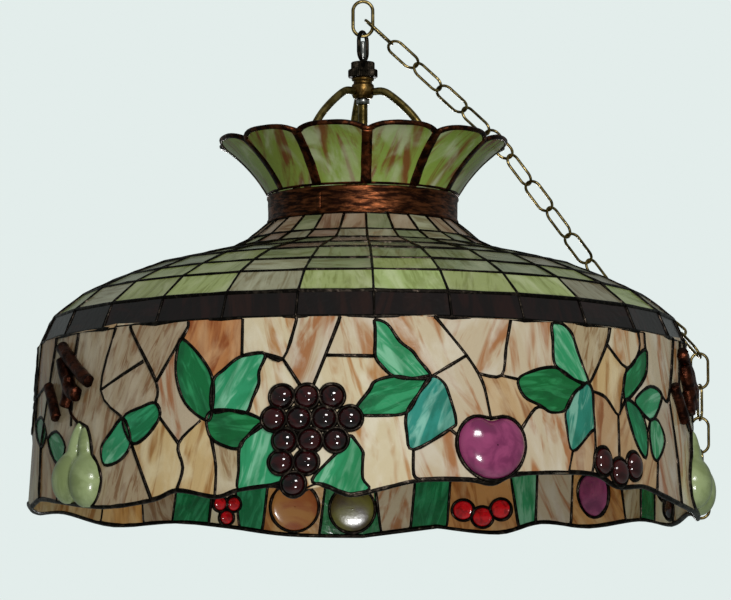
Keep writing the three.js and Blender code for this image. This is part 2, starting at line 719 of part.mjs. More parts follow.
// A lamp holder: its own axis is +Z from the cluster outwards.
function socket() {
  return turned([
    [0, 0],
    [SOCKET_NECK, 0],
    [SOCKET_RADIUS, 10],
    [SOCKET_RADIUS, SOCKET_LENGTH],
    [SOCKET_RADIUS - 2, SOCKET_LENGTH],
    [SOCKET_RADIUS - 2, SOCKET_LENGTH - 20],
    [0, SOCKET_LENGTH - 20],
  ]);
}

// A pear-shaped bulb whose cap sits in the holder.
function bulb() {
  const cap = SOCKET_RADIUS - 2 - GAP - 1;
  const foot = SOCKET_LENGTH - 20 + GAP;
  const middle = foot + BULB_LENGTH - BULB_RADIUS;
  const dome = Array.from({ length: 9 }, (_, i) => {
    const turn = lerp(-40, 90, i / 8);
    return [BULB_RADIUS * Math.cos(radians(turn)), middle + BULB_RADIUS * Math.sin(radians(turn))];
  });
  dome[8][0] = 0;
  return turned([[0, foot], [cap, foot], [cap, foot + 26], ...dome]);
}

// The turn key: a short shaft out of the holder's side with a flat paddle on its end.
function turnKey() {
  const shaft = new THREE.CylinderGeometry(KEY_SHAFT, KEY_SHAFT, KEY_REACH, 12).translate(0, KEY_REACH / 2, 0);
  const paddle = new THREE.CylinderGeometry(7, 7, 2.4, 16).rotateX(Math.PI / 2).scale(1.3, 1, 1);
  paddle.translate(0, KEY_REACH + 4, 0);
  return toGeometry(joined([shaft, paddle]));
}

add("cluster_body", clusterBody(), FINISH.brass);
for (let i = 0; i < SOCKETS; i++) {
  const turn = new THREE.Group();
  turn.rotation.z = radians((i * 360) / SOCKETS + 30);
  lamp.add(turn);
  const branch = new THREE.Group();
  branch.position.set(0, -SOCKET_FOOT, CLUSTER_HEIGHT);
  branch.rotation.x = radians(90 + SOCKET_DROOP);
  turn.add(branch);
  const place = (name, geometry, material) => {
    const mesh = add(`${name}_${i + 1}`, geometry, material);
    branch.add(mesh);
    return mesh;
  };
  place("socket", socket(), FINISH.porcelain);
  place("bulb", bulb(), FINISH.bulb);
  place("turn_key", turnKey(), FINISH.iron).position.set(0, SOCKET_RADIUS + GAP, 18);
}

// ---------------------------------------------------------------- the lamp, hung from its origin
lamp.position.z = -hangHeight;
const model = new THREE.Group();
model.add(lamp);

export default model;
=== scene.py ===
# %% [markdown]
# # A leaded glass pool table lamp
# The lamp is a wide shade of glass pieces joined with lead, hung from a hook link by a brass stem.
# This lesson dresses its plain solid model: each cell builds one piece or one finish.
# The solid model is loaded first, and it stays fixed: every piece below is made in its own place.

# %% Load the solid model
import math
import random

import bpy
from mathutils import Matrix, Vector, noise
from mathutils.geometry import delaunay_2d_cdt


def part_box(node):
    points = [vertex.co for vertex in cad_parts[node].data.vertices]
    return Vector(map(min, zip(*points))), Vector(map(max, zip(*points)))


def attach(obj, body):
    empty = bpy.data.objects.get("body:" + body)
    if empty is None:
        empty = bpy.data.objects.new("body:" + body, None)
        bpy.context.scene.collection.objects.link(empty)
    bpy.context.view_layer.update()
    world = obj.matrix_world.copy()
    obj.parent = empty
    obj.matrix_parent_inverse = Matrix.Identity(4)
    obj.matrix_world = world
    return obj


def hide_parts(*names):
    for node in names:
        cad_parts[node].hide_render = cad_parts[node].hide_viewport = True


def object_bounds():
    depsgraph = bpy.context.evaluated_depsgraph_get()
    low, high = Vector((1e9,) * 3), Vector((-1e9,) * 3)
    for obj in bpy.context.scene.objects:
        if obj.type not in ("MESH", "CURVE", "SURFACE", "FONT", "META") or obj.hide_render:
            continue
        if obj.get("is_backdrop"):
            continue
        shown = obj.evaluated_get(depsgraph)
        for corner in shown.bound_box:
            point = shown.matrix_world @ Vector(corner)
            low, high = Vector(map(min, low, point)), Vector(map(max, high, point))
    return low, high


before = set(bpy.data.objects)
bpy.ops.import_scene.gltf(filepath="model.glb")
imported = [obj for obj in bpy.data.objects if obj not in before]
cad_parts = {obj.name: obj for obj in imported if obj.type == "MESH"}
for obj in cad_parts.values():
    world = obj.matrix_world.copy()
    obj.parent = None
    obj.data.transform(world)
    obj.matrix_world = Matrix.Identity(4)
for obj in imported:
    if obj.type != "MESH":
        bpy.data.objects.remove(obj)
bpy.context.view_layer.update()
SKIRT_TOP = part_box("skirt_glass_1")[1].z

# %% [markdown]
# A round shade is easiest to describe as its maker does: a bearing round the axis in degrees, with 0 at
# the front, a distance from the axis and a height over the skirt's top edge, both in millimetres.
# One function turns that into a point in metres, and all the glass, lead and copper is laid out with it.

# %% Places on the shade
GLASS = 3  # thickness of the sheet glass
SHADE_RADIUS = 330  # outside of the skirt's top edge: a 26 inch shade
SKIRT_FLARE = 10  # how much further out the skirt stands at its foot
SKIRT_DEPTH = 163
COLLAR_RADIUS = 97
COLLAR_BOTTOM = 129
COLLAR_TOP = 157
ALONG = SHADE_RADIUS * math.pi / 180  # millimetres of skirt to one degree


def at(bearing, radius, height):
    turn = math.radians(bearing)
    across = radius * math.sin(turn)
    back = -radius * math.cos(turn)
    return Vector((across / 1000, back / 1000, SKIRT_TOP + height / 1000))


def outward(bearing):
    turn = math.radians(bearing)
    return Vector((math.sin(turn), -math.cos(turn), 0))


def skirt_radius(height):
    return SHADE_RADIUS - SKIRT_FLARE * height / SKIRT_DEPTH


def lerp(low, high, share):
    return low + (high - low) * share


print("one degree of skirt is", round(ALONG, 2), "mm")

# %% [markdown]
# Glass, lead and wire could each be built by hand in Blender's editor. Here every piece starts as a list
# of points and a list of faces, because a lamp like this is hundreds of copies with small differences.
# This helper makes the object, gives it its finishes, lets it ride on a moving body and hides the plain
# solids it stands for.

# %% A piece from points and faces
def piece(name, points, faces, finishes, replaces=(), body="shade", choice=None,
          smooth=True):
    mesh = bpy.data.meshes.new(name)
    mesh.from_pydata([tuple(point) for point in points], [], faces)
    for finish in finishes:
        mesh.materials.append(finish)
    if choice:
        mesh.polygons.foreach_set("material_index", choice)
    mesh.polygons.foreach_set("use_smooth", [smooth] * len(faces))
    mesh.update()
    made = bpy.data.objects.new(name, mesh)
    bpy.context.scene.collection.objects.link(made)
    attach(made, body)
    if replaces:
        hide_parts(*replaces)
    print(f"{name}: {len(points)} points, {len(faces)} faces")
    return made


def note(made, name, kind, values):
    """Keeps a value for each point of a piece, for its finish to read."""
    kept = made.data.attributes.new(name, kind, "POINT")
    field = "vector" if kind == "FLOAT_VECTOR" else "value"
    kept.data.foreach_set(field, values)


# %% [markdown]
# Lead came, copper foil, wire and pipe are all bars: a small oval section that follows a line. A curve
# with a bevel could draw them too, but it twists where a line turns. The bar here is told which way is
# out at each point, so a flat oval lies flat on the glass, and its width can be lumpy like solder.

# %% Bars along a line
LUMPS_PER_METRE = 90  # solder gathers in drops about a centimetre apart


class Shape:
    """Points and faces that several bars, rings or tiles add to, so that they become one piece."""

    def __init__(self):
        self.points = []
        self.faces = []

    def grid(self, rows, close_rows=False, close_columns=False):
        first = len(self.points)
        count = len(rows[0])
        for row in rows:
            self.points.extend(row)
        row_spans = len(rows) if close_rows else len(rows) - 1
        column_spans = count if close_columns else count - 1
        for i in range(row_spans):
            here = first + i * count
            above = first + (i + 1) % len(rows) * count
            for k in range(column_spans):
                beside = (k + 1) % count
                self.faces.append((here + k, here + beside, above + beside, above + k))

    def bar(self, line, outs, half_width, half_depth, sides=8, closed=False, lumps=0.0):
        rows = []
        for i, point in enumerate(line):
            before = line[i - 1] if i or closed else point
            after = line[(i + 1) % len(line)] if i < len(line) - 1 or closed else point
            along = (after - before).normalized()
            side = along.cross(outs[i]).normalized()
            out = side.cross(along)
            swell = 1 + lumps * noise.noise(point * LUMPS_PER_METRE) if lumps else 1
            ring = []
            for k in range(sides):
                turn = math.tau * k / sides
                shift = side * (half_width * math.cos(turn)) + out * (half_depth * math.sin(turn))
                ring.append(point + shift * (swell / 1000))
            rows.append(ring)
        self.grid(rows, close_rows=closed, close_columns=True)
        if not closed:
            last = len(self.points) - sides
            start = last - (len(rows) - 1) * sides
            self.faces.append(tuple(range(start, start + sides))[::-1])
            self.faces.append(tuple(range(last, last + sides)))


def bend(p, q, r, s, t):
    """The value a share t of the way from q to r, on a bend that comes from p and goes on to s."""
    square = 2 * p - 5 * q + 4 * r - s
    cube = 3 * q - p - 3 * r + s
    return 0.5 * (2 * q + (r - p) * t + square * t * t + cube * t ** 3)


def smooth_line(points, steps=4, closed=False):
    """A rounded line (Catmull-Rom) through a few points of any number of parts."""
    count = len(points)
    made = []
    spans = count if closed else count - 1
    for i in range(spans):
        pick = [(i + j) % count if closed else min(max(i + j, 0), count - 1) for j in (-1, 0, 1, 2)]
        four = [points[j] for j in pick]
        for k in range(steps):
            made.append(tuple(bend(*values, k / steps) for values in zip(*four)))
    if not closed:
        made.append(tuple(points[-1]))
    return made


print("a rounded line through 3 points has", len(smooth_line([(0, 0), (1, 1), (2, 0)])), "points")

# %% [markdown]
# ## Finishes
# Colours are written as sRGB hex values, as a paint chart gives them, and one function turns them into
# the linear values that the renderer works with. A second one adds a shader node with its settings.

# %% Colour and node helpers
def srgb(code, alpha=1.0):
    parts = [int(code[i:i + 2], 16) / 255 for i in (1, 3, 5)]
    linear = [part / 12.92 if part <= 0.04045 else ((part + 0.055) / 1.055) ** 2.4 for part in parts]
    return (*linear, alpha)


def node(tree, kind, inputs=None, **settings):
    made = tree.nodes.new(kind)
    for name, value in settings.items():
        setattr(made, name, value)
    for socket, value in (inputs or {}).items():
        if isinstance(value, bpy.types.NodeSocket):
            tree.links.new(value, made.inputs[socket])
        else:
            made.inputs[socket].default_value = value
    return made


def new_finish(name):
    made = bpy.data.materials.new(name)
    made.use_nodes = True
    return made, made.node_tree, made.node_tree.nodes["Principled BSDF"]


print("middle grey is", round(srgb("#808080")[0], 3), "in linear light")

# %% [markdown]
# Opalescent slag glass is rolled from molten glass of two or three colours, so it has long soft streaks,
# milky clouds and a slightly rippled face with a bright gloss. Soda-lime glass has an IOR of 1.52.
# Each piece was cut from another part of a sheet: `grain` holds where it lay on its sheet, in
# millimetres, with the first number along the streaks, and `cast` how light that part was.
# Streaks are 7 to 18 mm wide and five times as long, with finer wisps between them, milky clouds are a
# few centimetres across, and the roller's ripples are about 7 mm apart.

# %% Slag glass
CLOUDS = (0.018, 0.04, 1.0)  # clouds to a millimetre, along and across: each is about 55 by 25 mm
SODA_LIME_IOR = 1.52


def slag_glass(name, ground, streak, milk, strength=0.9, gloss=0.16, width=18.0):
    made, tree, shader = new_finish(name)
    grain = node(tree, "ShaderNodeAttribute", attribute_name="grain").outputs["Vector"]
    cast = node(tree, "ShaderNodeAttribute", attribute_name="cast").outputs["Fac"]
    long_way = node(tree, "ShaderNodeMapping", {
        "Vector": grain, "Scale": (0.2 / width, 1 / width, 1.0)}).outputs[0]
    streaks = node(tree, "ShaderNodeTexNoise", {
        "Vector": long_way, "Scale": 1.0, "Detail": 3.5,
        "Roughness": 0.55, "Distortion": 1.1}).outputs["Fac"]
    bands = node(tree, "ShaderNodeMapRange", {
        "Value": streaks, "From Min": 0.45, "From Max": 0.64, "To Max": strength},
        interpolation_type="SMOOTHSTEP").outputs["Result"]
    clouds = node(tree, "ShaderNodeMapping", {"Vector": grain, "Scale": CLOUDS}).outputs[0]
    cloudy = node(tree, "ShaderNodeTexNoise", {
        "Vector": clouds, "Scale": 1.0, "Detail": 4.0,
        "Roughness": 0.5, "Distortion": 0.6}).outputs["Fac"]
    milky = node(tree, "ShaderNodeMapRange", {
        "Value": cloudy, "From Min": 0.45, "From Max": 0.68, "To Max": 0.75},
        interpolation_type="SMOOTHSTEP").outputs["Result"]
    body = node(tree, "ShaderNodeMix", {
        0: bands, 6: srgb(ground), 7: srgb(streak)}, data_type="RGBA").outputs[2]
    clouded = node(tree, "ShaderNodeMix", {
        0: milky, 6: body, 7: srgb(milk)}, data_type="RGBA").outputs[2]
    lightness = node(tree, "ShaderNodeMapRange", {
        "Value": cast, "To Min": 0.76, "To Max": 1.1}).outputs["Result"]
    hue = node(tree, "ShaderNodeMapRange", {
        "Value": cast, "To Min": 0.488, "To Max": 0.512}).outputs["Result"]
    cut = node(tree, "ShaderNodeHueSaturation", {"Hue": hue, "Value": lightness, "Color": clouded})
    ripple = node(tree, "ShaderNodeTexNoise", {
        "Vector": grain, "Scale": 0.14, "Detail": 2.0, "Distortion": 0.5})
    bump = node(tree, "ShaderNodeBump", {
        "Height": ripple.outputs["Fac"], "Strength": 0.3, "Distance": 0.0012}).outputs["Normal"]
    rough = node(tree, "ShaderNodeMapRange", {
        "Value": cloudy, "To Min": gloss * 0.7, "To Max": gloss * 1.6}).outputs["Result"]
    tree.links.new(cut.outputs["Color"], shader.inputs["Base Color"])
    tree.links.new(rough, shader.inputs["Roughness"])
    tree.links.new(bump, shader.inputs["Normal"])
    shader.inputs["IOR"].default_value = SODA_LIME_IOR
    return made


# Each sheet is rolled glass of three colours: its ground, its streaks and its milk. The eye sees a wet,
# even gloss over a colour that is never the same twice.
SHEET = {
    # Skirt: warm creams with caramel streaks, and greens poured dark over light
    "cream": slag_glass("glass_cream_slag", "#CDBC9B", "#A96E38", "#DCD2BC"),
    "caramel": slag_glass("glass_caramel_slag", "#BD9C70", "#8E5729", "#D0BC99"),
    "amber": slag_glass("glass_amber_slag", "#C48A4E", "#93521F", "#DDB47E"),
    "mottled": slag_glass("glass_mottled_tan", "#AE9A79", "#85613C", "#C8BBA0", width=7.0),
    "leaf": slag_glass("glass_leaf_green", "#0E6C39", "#2F935C", "#094A28", width=9.0),
    "light_leaf": slag_glass("glass_light_green", "#2F925F", "#82C09A", "#167643", width=10.0),
    "blue_leaf": slag_glass("glass_blue_green", "#2A8370", "#82BAA4", "#155F49", width=10.0),
    # Shoulder: thinner streaks in muted greens and tans
    "beige": slag_glass("glass_beige_slag", "#A4A183", "#857A58", "#BCBB9E", width=9.0),
    "lime": slag_glass("glass_lime_slag", "#A9B673", "#8A9450", "#C7CF9C", width=9.0),
    "olive": slag_glass("glass_olive_slag", "#8E9570", "#73754E", "#ACAE8A", width=9.0),
    "rosy_tan": slag_glass("glass_rosy_tan_slag", "#A38B72", "#7F5C44", "#BBAB94", width=9.0),
    # Crown: bright green with brown flames. Border: a red so deep that it reads as black
    "crown": slag_glass("glass_crown_green_slag", "#88A046", "#7A4E26", "#C0CBA2", strength=1.0),
    "border": slag_glass("glass_oxblood", "#130908", "#24100C", "#0A0605", gloss=0.14),
}
print(len(SHEET), "kinds of sheet glass")

# %% [markdown]
# The fruit is pressed glass: hot glass squeezed in an iron mould, which leaves a deeply coloured lens
# with a domed front and faint dimples. The small nuggets are fire-polished, with a roughness of 0.07 and
# sharp highlights. The large fruits kept the mould's skin, which spreads the light: 0.12 to 0.22. The
# colour drifts slowly over each piece, and a thin clear coat stands for the polished outer skin.

# %% Pressed glass
def pressed_glass(name, ground, blush, spread=35.0, gloss=0.07, dimple=0.0):
    made, tree, shader = new_finish(name)
    where = node(tree, "ShaderNodeTexCoord").outputs["Object"]
    drift = node(tree, "ShaderNodeTexNoise", {
        "Vector": where, "Scale": 1000 / spread, "Detail": 4.0, "Distortion": 0.8}).outputs["Fac"]
    share = node(tree, "ShaderNodeMapRange", {
        "Value": drift, "From Min": 0.38, "From Max": 0.64},
        interpolation_type="SMOOTHSTEP").outputs["Result"]
    body = node(tree, "ShaderNodeMix", {
        0: share, 6: srgb(ground), 7: srgb(blush)}, data_type="RGBA").outputs[2]
    fine = node(tree, "ShaderNodeTexNoise", {
        "Vector": where, "Scale": 260.0, "Detail": 2.0}).outputs["Fac"]
    bump = node(tree, "ShaderNodeBump", {
        "Height": fine, "Strength": 0.12 + dimple, "Distance": 0.0006}).outputs["Normal"]
    rough = node(tree, "ShaderNodeMapRange", {
        "Value": drift, "To Min": gloss * 0.6, "To Max": gloss * 2}).outputs["Result"]
    tree.links.new(body, shader.inputs["Base Color"])
    tree.links.new(rough, shader.inputs["Roughness"])
    tree.links.new(bump, shader.inputs["Normal"])
    shader.inputs["IOR"].default_value = SODA_LIME_IOR
    shader.inputs["Coat Weight"].default_value = 0.25
    shader.inputs["Coat Roughness"].default_value = 0.05
    return made


FRUIT = {
    "grape": pressed_glass("glass_grape_pressed", "#0C0204", "#300507", spread=14),
    "apple": pressed_glass("glass_apple_pressed", "#96406A", "#742A52", spread=22, gloss=0.12),
    "pear": pressed_glass("glass_pear_pressed", "#96A473", "#788554", spread=28, gloss=0.22,
                          dimple=0.3),
    "peach": pressed_glass("glass_peach_pressed", "#B97E42", "#A0542C", spread=40, gloss=0.16),
    "fig": pressed_glass("glass_fig_pressed", "#6F6A2C", "#4A3B1E", spread=30, gloss=0.16),
    "date": pressed_glass("glass_date_pressed", "#1E0607", "#3C0E0E", spread=14),
    "berry": pressed_glass("glass_berry_pressed", "#E01520", "#A00B14", spread=10, dimple=0.5),
}
print(len(FRUIT), "kinds of pressed glass")

# %% [markdown]
# The metals are all old. A patina is metal whose colour and gloss wander with handling: dark in the
# hollows, bright where it is rubbed. On the foil, the collar and the twigs the bright patches are also
# painted glints. One recipe makes them all, from a base, a bright colour and how lumpy the surface is.
# Metallic is 1 with the default IOR, and lumps are given in millimetres. A strip that was brushed round
# has its patches squeezed in height, which draws them out along the brushing into long streaks of
# rubbed metal and painted highlight.

# %% Patinated metal
def patina(name, dark, bright, rough, lump=6.0, lump_strength=0.25, wear_and_glint_span=(0.42, 0.62), streak_stretch=1.0):
    made, tree, shader = new_finish(name)
    place = node(tree, "ShaderNodeTexCoord").outputs["Object"]
    # Squeezed in height, the bright patches draw out into streaks of rubbed metal and painted highlight
    where = node(tree, "ShaderNodeMapping", {"Vector": place, "Scale": (1, 1, streak_stretch)}).outputs[0]
    wear_and_glint = node(tree, "ShaderNodeTexNoise", {
        "Vector": where, "Scale": 1000 / (2.5 * lump), "Detail": 8.0,
        "Roughness": 0.6, "Distortion": 0.4}).outputs["Fac"]
    share = node(tree, "ShaderNodeMapRange", {
        "Value": wear_and_glint, "From Min": wear_and_glint_span[0], "From Max": wear_and_glint_span[1]},
        interpolation_type="SMOOTHSTEP").outputs["Result"]
    # The bright colour goes where the noise is high: worn metal, and on some metals painted glints as well
    body = node(tree, "ShaderNodeMix", {
        0: share, 6: srgb(dark), 7: srgb(bright)}, data_type="RGBA").outputs[2]
    shine = node(tree, "ShaderNodeMapRange", {
        "Value": wear_and_glint, "From Min": 0.3, "From Max": 0.7,
        "To Min": rough * 1.35, "To Max": rough * 0.75}).outputs["Result"]
    lumps = node(tree, "ShaderNodeTexNoise", {
        "Vector": where, "Scale": 1000 / lump, "Detail": 3.0}).outputs["Fac"]
    bump = node(tree, "ShaderNodeBump", {
        "Height": lumps, "Strength": lump_strength, "Distance": 0.0012}).outputs["Normal"]
    tree.links.new(body, shader.inputs["Base Color"])
    tree.links.new(shine, shader.inputs["Roughness"])
    tree.links.new(bump, shader.inputs["Normal"])
    shader.inputs["Metallic"].default_value = 1.0
    return made


# Lead came, blackened in a bath: soft, lumpy and dull, with grey where it is rubbed
LEAD = patina("lead_came_dark_patina", "#191613", "#4E443B", 0.4, lump=3.0, lump_strength=0.5,
              wear_and_glint_span=(0.48, 0.72))
# Copper foil under solder, browned, with warm bright copper patches: partly worn copper, partly painted
# glints
FOIL = patina("copper_foil_antique", "#1F110B", "#7C4429", 0.42, lump=5.0, lump_strength=0.45,
              wear_and_glint_span=(0.44, 0.72))
# Sheet copper, hammered and then brushed round, with long reddish streaks along the brushing: partly rubbed
# copper, partly painted highlights
BAND = patina("copper_band_hammered", "#27140D", "#8A5030", 0.4, lump=7.0, lump_strength=0.5,
              wear_and_glint_span=(0.4, 0.7), streak_stretch=5.0)
# Brass rod and tube, aged: a greenish gold, smooth and half bright
BRASS = patina("brass_aged", "#574A26", "#94804A", 0.32, lump=4.0, lump_strength=0.12)
# Cast brass, browned in its grooves
HUB_BRASS = patina("brass_cast_browned", "#4A3618", "#8E7040", 0.36, lump=3.0, lump_strength=0.2)
# Drawn brass wire: the brightest metal here, with thin clean highlights
CHAIN_BRASS = patina("brass_wire_antique", "#564A2A", "#AA9560", 0.3, lump=3.0, lump_strength=0.1)
# Iron, blackened in oil: nearly black and grainy
IRON = patina("iron_blackened", "#15130F", "#3B342B", 0.5, lump=2.0, lump_strength=0.3)
# Plated steel: pale grey with dull worn spots
STEEL = patina("steel_plated_worn", "#7C7D7A", "#B4B5B1", 0.3, lump=2.0, lump_strength=0.1)
# Copper cast like bark, browned: deep lumps with red patches, partly worn copper and partly painted sheen
TWIG = patina("twig_browned_copper", "#1F0F0A", "#5E3222", 0.42, lump=4.0, lump_strength=0.8,
              wear_and_glint_span=(0.4, 0.7))
print("metals ready")

# %% [markdown]
# ## The skirt
# The skirt is a picture in glass: leaves and fruit before streaky cream pieces, all outlined in lead.
# A glazier draws the lead lines first, and the glass is what lies between them. The same order is
# used here: the lines are given as bearing and height, and every field that they enclose becomes one
# piece of glass with its own place on its own sheet.

# %% The wavy lower edge
RIM_WAVE = [
    (-180, 172), (-166, 171), (-155, 164), (-143, 160), (-128, 167), (-112, 158), (-98, 163), (-85, 158),
    (-78, 164), (-70, 159), (-61, 164), (-47, 173), (-36, 169), (-31, 161), (-24, 168), (-20, 162),
    (-14, 159), (-11, 168), (-7, 158), (-2, 168), (3, 162), (9, 154), (17, 153), (21, 156),
    (26, 146), (40, 143), (46, 154), (53, 152), (60, 159), (67, 165), (78, 170), (87, 173),
    (98, 164), (108, 172), (120, 163), (134, 167), (145, 160), (154, 170), (166, 162), (180, 172),
]


def rim_height(bearing):
    place = (bearing + 180) % 360 - 180
    for (start, low), (end, high) in zip(RIM_WAVE, RIM_WAVE[1:]):
        if start <= place <= end:
            return -lerp(low, high, (place - start) / (end - start))
    return -RIM_WAVE[0][1]


print("the skirt's edge is between", -max(depth for _, depth in RIM_WAVE), "and",
      -min(depth for _, depth in RIM_WAVE), "mm")

# %% [markdown]
# Leaves are closed outlines. Those at the front are each drawn one by one, because no two are alike. The
# sides and the back repeat the same group, turned round the axis, as the shade's maker also did.

# %% Leaves and leads of the front
FRONT_LEAVES = [
    ("leaf", [(-31, -17), (-32, -29), (-32, -52), (-30, -79), (-26, -96), (-25, -87), (-25, -59),
              (-27, -38)]),
    ("light_leaf", [(-25, -59), (-23, -48), (-21, -39), (-19, -35), (-16, -35), (-17, -51), (-17, -63),
                    (-18, -77), (-19, -90), (-22, -87), (-25, -87)]),
    ("leaf", [(-26, -96), (-25, -87), (-22, -87), (-19, -90), (-16, -100), (-19, -114), (-20, -123),
              (-22, -122), (-25, -113)]),
    ("light_leaf", [(-16, -100), (-19, -114), (-20, -123), (-20, -144), (-20, -162), (-17, -161),
                    (-12, -153), (-13, -138), (-13, -118)]),
    ("light_leaf", [(-8, -154), (-5, -134), (-3, -123), (-2, -113), (-1, -119), (0, -128), (0, -135),
                    (0, -153), (1, -163), (-2, -168), (-6, -160)]),
    ("light_leaf", [(2, -4), (4, -8), (6, -24), (8, -33), (9, -41), (11, -57), (8, -59), (5, -57), (3, -47),
                    (2, -38), (2, -25), (2, -11)]),
    ("leaf", [(5, -57), (2, -62), (1, -71), (-1, -86), (-1, -93), (3, -94), (7, -91), (9, -73), (11, -57),
              (8, -59)]),
    ("blue_leaf", [(11, -57), (13, -62), (14, -75), (15, -98), (14, -106), (8, -126), (7, -111), (7, -91),
                   (9, -73)]),
    ("leaf", [(26, -57), (29, -48), (32, -44), (34, -45), (37, -54), (39, -59), (37, -67), (35, -84),
              (32, -87), (30, -81), (27, -73)]),
    ("light_leaf", [(33, -2), (35, -1), (37, -10), (38, -26), (39, -40), (40, -56), (37, -54), (34, -45),
                    (33, -37), (33, -18)]),
    ("blue_leaf", [(40, -60), (41, -64), (41, -82), (41, -99), (40, -104), (36, -123), (35, -100),
                   (35, -84), (37, -67), (39, -59)]),
    ("leaf", [(56, -17), (56, -39), (53, -56), (49, -70), (49, -49), (51, -36)]),
    ("light_leaf", [(57, -53), (61, -61), (57, -86), (53, -77), (52, -67)]),
    ("leaf", [(49, -70), (53, -77), (55, -99), (54, -124), (51, -106)]),
    ("light_leaf", [(56, -89), (59, -86), (61, -105), (58, -125), (56, -117)]),
    ("leaf", [(-43, -89), (-39, -80), (-36, -77), (-35, -91), (-38, -110), (-41, -113)]),
    ("light_leaf", [(-48, -116), (-46, -103), (-43, -89), (-41, -113), (-43, -129), (-47, -133)]),
    ("leaf", [(-77, -83), (-72, -77), (-68, -94), (-71, -107)]),
    ("light_leaf", [(-67, -102), (-63, -95), (-59, -112), (-62, -127)]),
]
FRONT_LEADS = [
    [(-30, -1), (-30, -6), (-31, -17)],
    [(-20, -1), (-20, -6), (-20, -35)],
    [(-11, -1), (-11, -7), (-13, -40), (-16, -35)],
    [(-13, -40), (-10, -66)],
    [(-16, -35), (-13, -40)],
    [(-4, -1), (-4, -6), (-8, -66)],
    [(-6, -37), (2, -38)],
    [(12, -1), (12, -5), (17, -36), (19, -53)],
    [(17, -36), (11, -57)],
    [(25, -1), (24, -27), (23, -54), (19, -53)],
    [(23, -54), (26, -57)],
    [(19, -53), (20, -67), (21, -97)],
    [(46, -1), (45, -17), (41, -52), (40, -60)],
    [(54, -1), (54, -19), (50, -38), (45, -17)],
    [(50, -38), (48, -69), (47, -85), (44, -69), (41, -64)],
    [(47, -85), (46.6, -128)],
    [(47, -85), (49, -70)],
    [(36, -123), (35, -144)],
    [(41, -99), (41, -119), (40, -144)],
    [(26.2, -105), (29, -84), (31, -84)],
    [(8, -126), (8, -149), (9, -154)],
    [(14, -106), (15.8, -114)],
    [(-27, -96), (-31, -117), (-30, -140), (-31, -160)],
    [(-25, -113), (-24, -140), (-24, -168)],
    [(-46, -1), (-46, -4), (-49, -60), (-43, -89)],
    [(-42, -1), (-42, -6), (-36, -57), (-36, -77)],
    [(-30, -6), (-36, -57)],
    [(-49, -60), (-39, -36)],
    [(-35, -91), (-31, -117)],
    [(-41, -113), (-36, -169)],
    [(56, -1), (56, -17)],
    [(68, -1), (68, -6), (64, -62), (61, -61)],
    [(64, -62), (66, -110), (67, -165)],
    [(55, -99), (56, -89)],
    [(58, -125), (57, -158)],
    [(-57, -1), (-58, -40), (-57.5, -92)],
    [(-66, -1), (-68, -44), (-70.5, -105)],
    [(-68, -44), (-85, -62)],
    [(-62, -127), (-61, -164)],
    [(-71, -107), (-70, -159)],
    [(-76, -1), (-78, -40), (-77, -83)],
    [(-68, -94), (-67, -102)],
]
print(len(FRONT_LEAVES), "leaves and", len(FRONT_LEADS), "leads at the front")

# %% [markdown]
# The back repeats the front's group a third of a turn either way, which is what brings the second bunch
# of grapes and the second apple to their places. Only what falls in the free arc is kept. Along the
# back's lower edge runs a strip of small upright pieces in green, amber and cream, with fruit on it.

# %% The whole pattern
BACK_TURNS = [(119, 70, 179), (-119, -179, -79)]  # how far to turn it, and the arc that is free
STRIP_TOP = -106
STRIP_FOOT = -174
STRIP = [
    (108, "cream"), (113, "leaf"), (118, "mottled"), (125, "amber"), (137, "cream"),
    (145, "light_leaf"), (151, "amber"), (163, "leaf"), (170, "cream"), (178, "leaf"),
    (187, "amber"), (198, "leaf"), (205, "cream"), (209, "leaf"), (217, "mottled"),
    (226, "amber"), (235, "cream"),
]
BACK_LEADS = [
    [(-174, -1), (-171, -40), (-175, -72), (-172, STRIP_TOP)],
    [(-180, -50), (-175, -72)],
]


def repeated(points, by, low, high):
    """The line turned round the axis and cut off at the strip, if what is left is in the free arc."""
    moved = []
    for bearing, height in points:
        if height < STRIP_TOP:
            moved.append((bearing + by, STRIP_TOP))
            break
        moved.append((bearing + by, height))
    fits = len(moved) > 1 and all(low <= bearing <= high for bearing, _ in moved)
    return moved if fits else None


def wrapped(bearing):
    """The same bearing between -180 and 180, which is how the skirt unrolls."""
    return (bearing + 180) % 360 - 180


def strip_leads():
    """The strip's wavy top, in one part on each side of the back seam, and the upright leads in it."""
    tops = [(wrapped(bearing), STRIP_TOP + (5 if i % 2 else -3)) for i, (bearing, _) in enumerate(STRIP)]
    before_seam = sum(bearing < 180 for bearing, _ in STRIP)
    made = [
        [*tops[:before_seam], (180, STRIP_TOP)],
        [(-180, STRIP_TOP), *tops[before_seam:]],
    ]
    for i, (bearing, _) in enumerate(STRIP):
        lean = 1.2 if i % 3 else -1.5
        made.append([tops[i], (wrapped(bearing + lean), STRIP_FOOT)])
    return made


leaves = list(FRONT_LEAVES)
leads = list(FRONT_LEADS)
for by, low, high in BACK_TURNS:
    for kind, outline in FRONT_LEAVES:
        moved = repeated(outline, by, low, high)
        if moved and min(height for _, height in moved) > STRIP_TOP:
            leaves.append((kind, moved))
    for line in FRONT_LEADS:
        moved = repeated(line, by, low, high)
        if moved:
            leads.append(moved)
leads += BACK_LEADS + strip_leads()
print(len(leaves), "leaves and", len(leads), "leads in all")

# %% [markdown]
# Each fruit has a lead ring of its own. It is an ellipse on the skirt, and it is one more line that the
# glass has to be cut round.

# %% Where the fruit sits
GRAPE_ROWS = [(3, 0), (4, 4.6), (3, 3.5), (2, -11.5), (1, -11.5)]  # how many, and how far aside
GRAPE_STEP = 23.6
GRAPE_DROP = 20.5
GRAPE_RADIUS = 11.6
GRAPE_DEPTH = 7.5


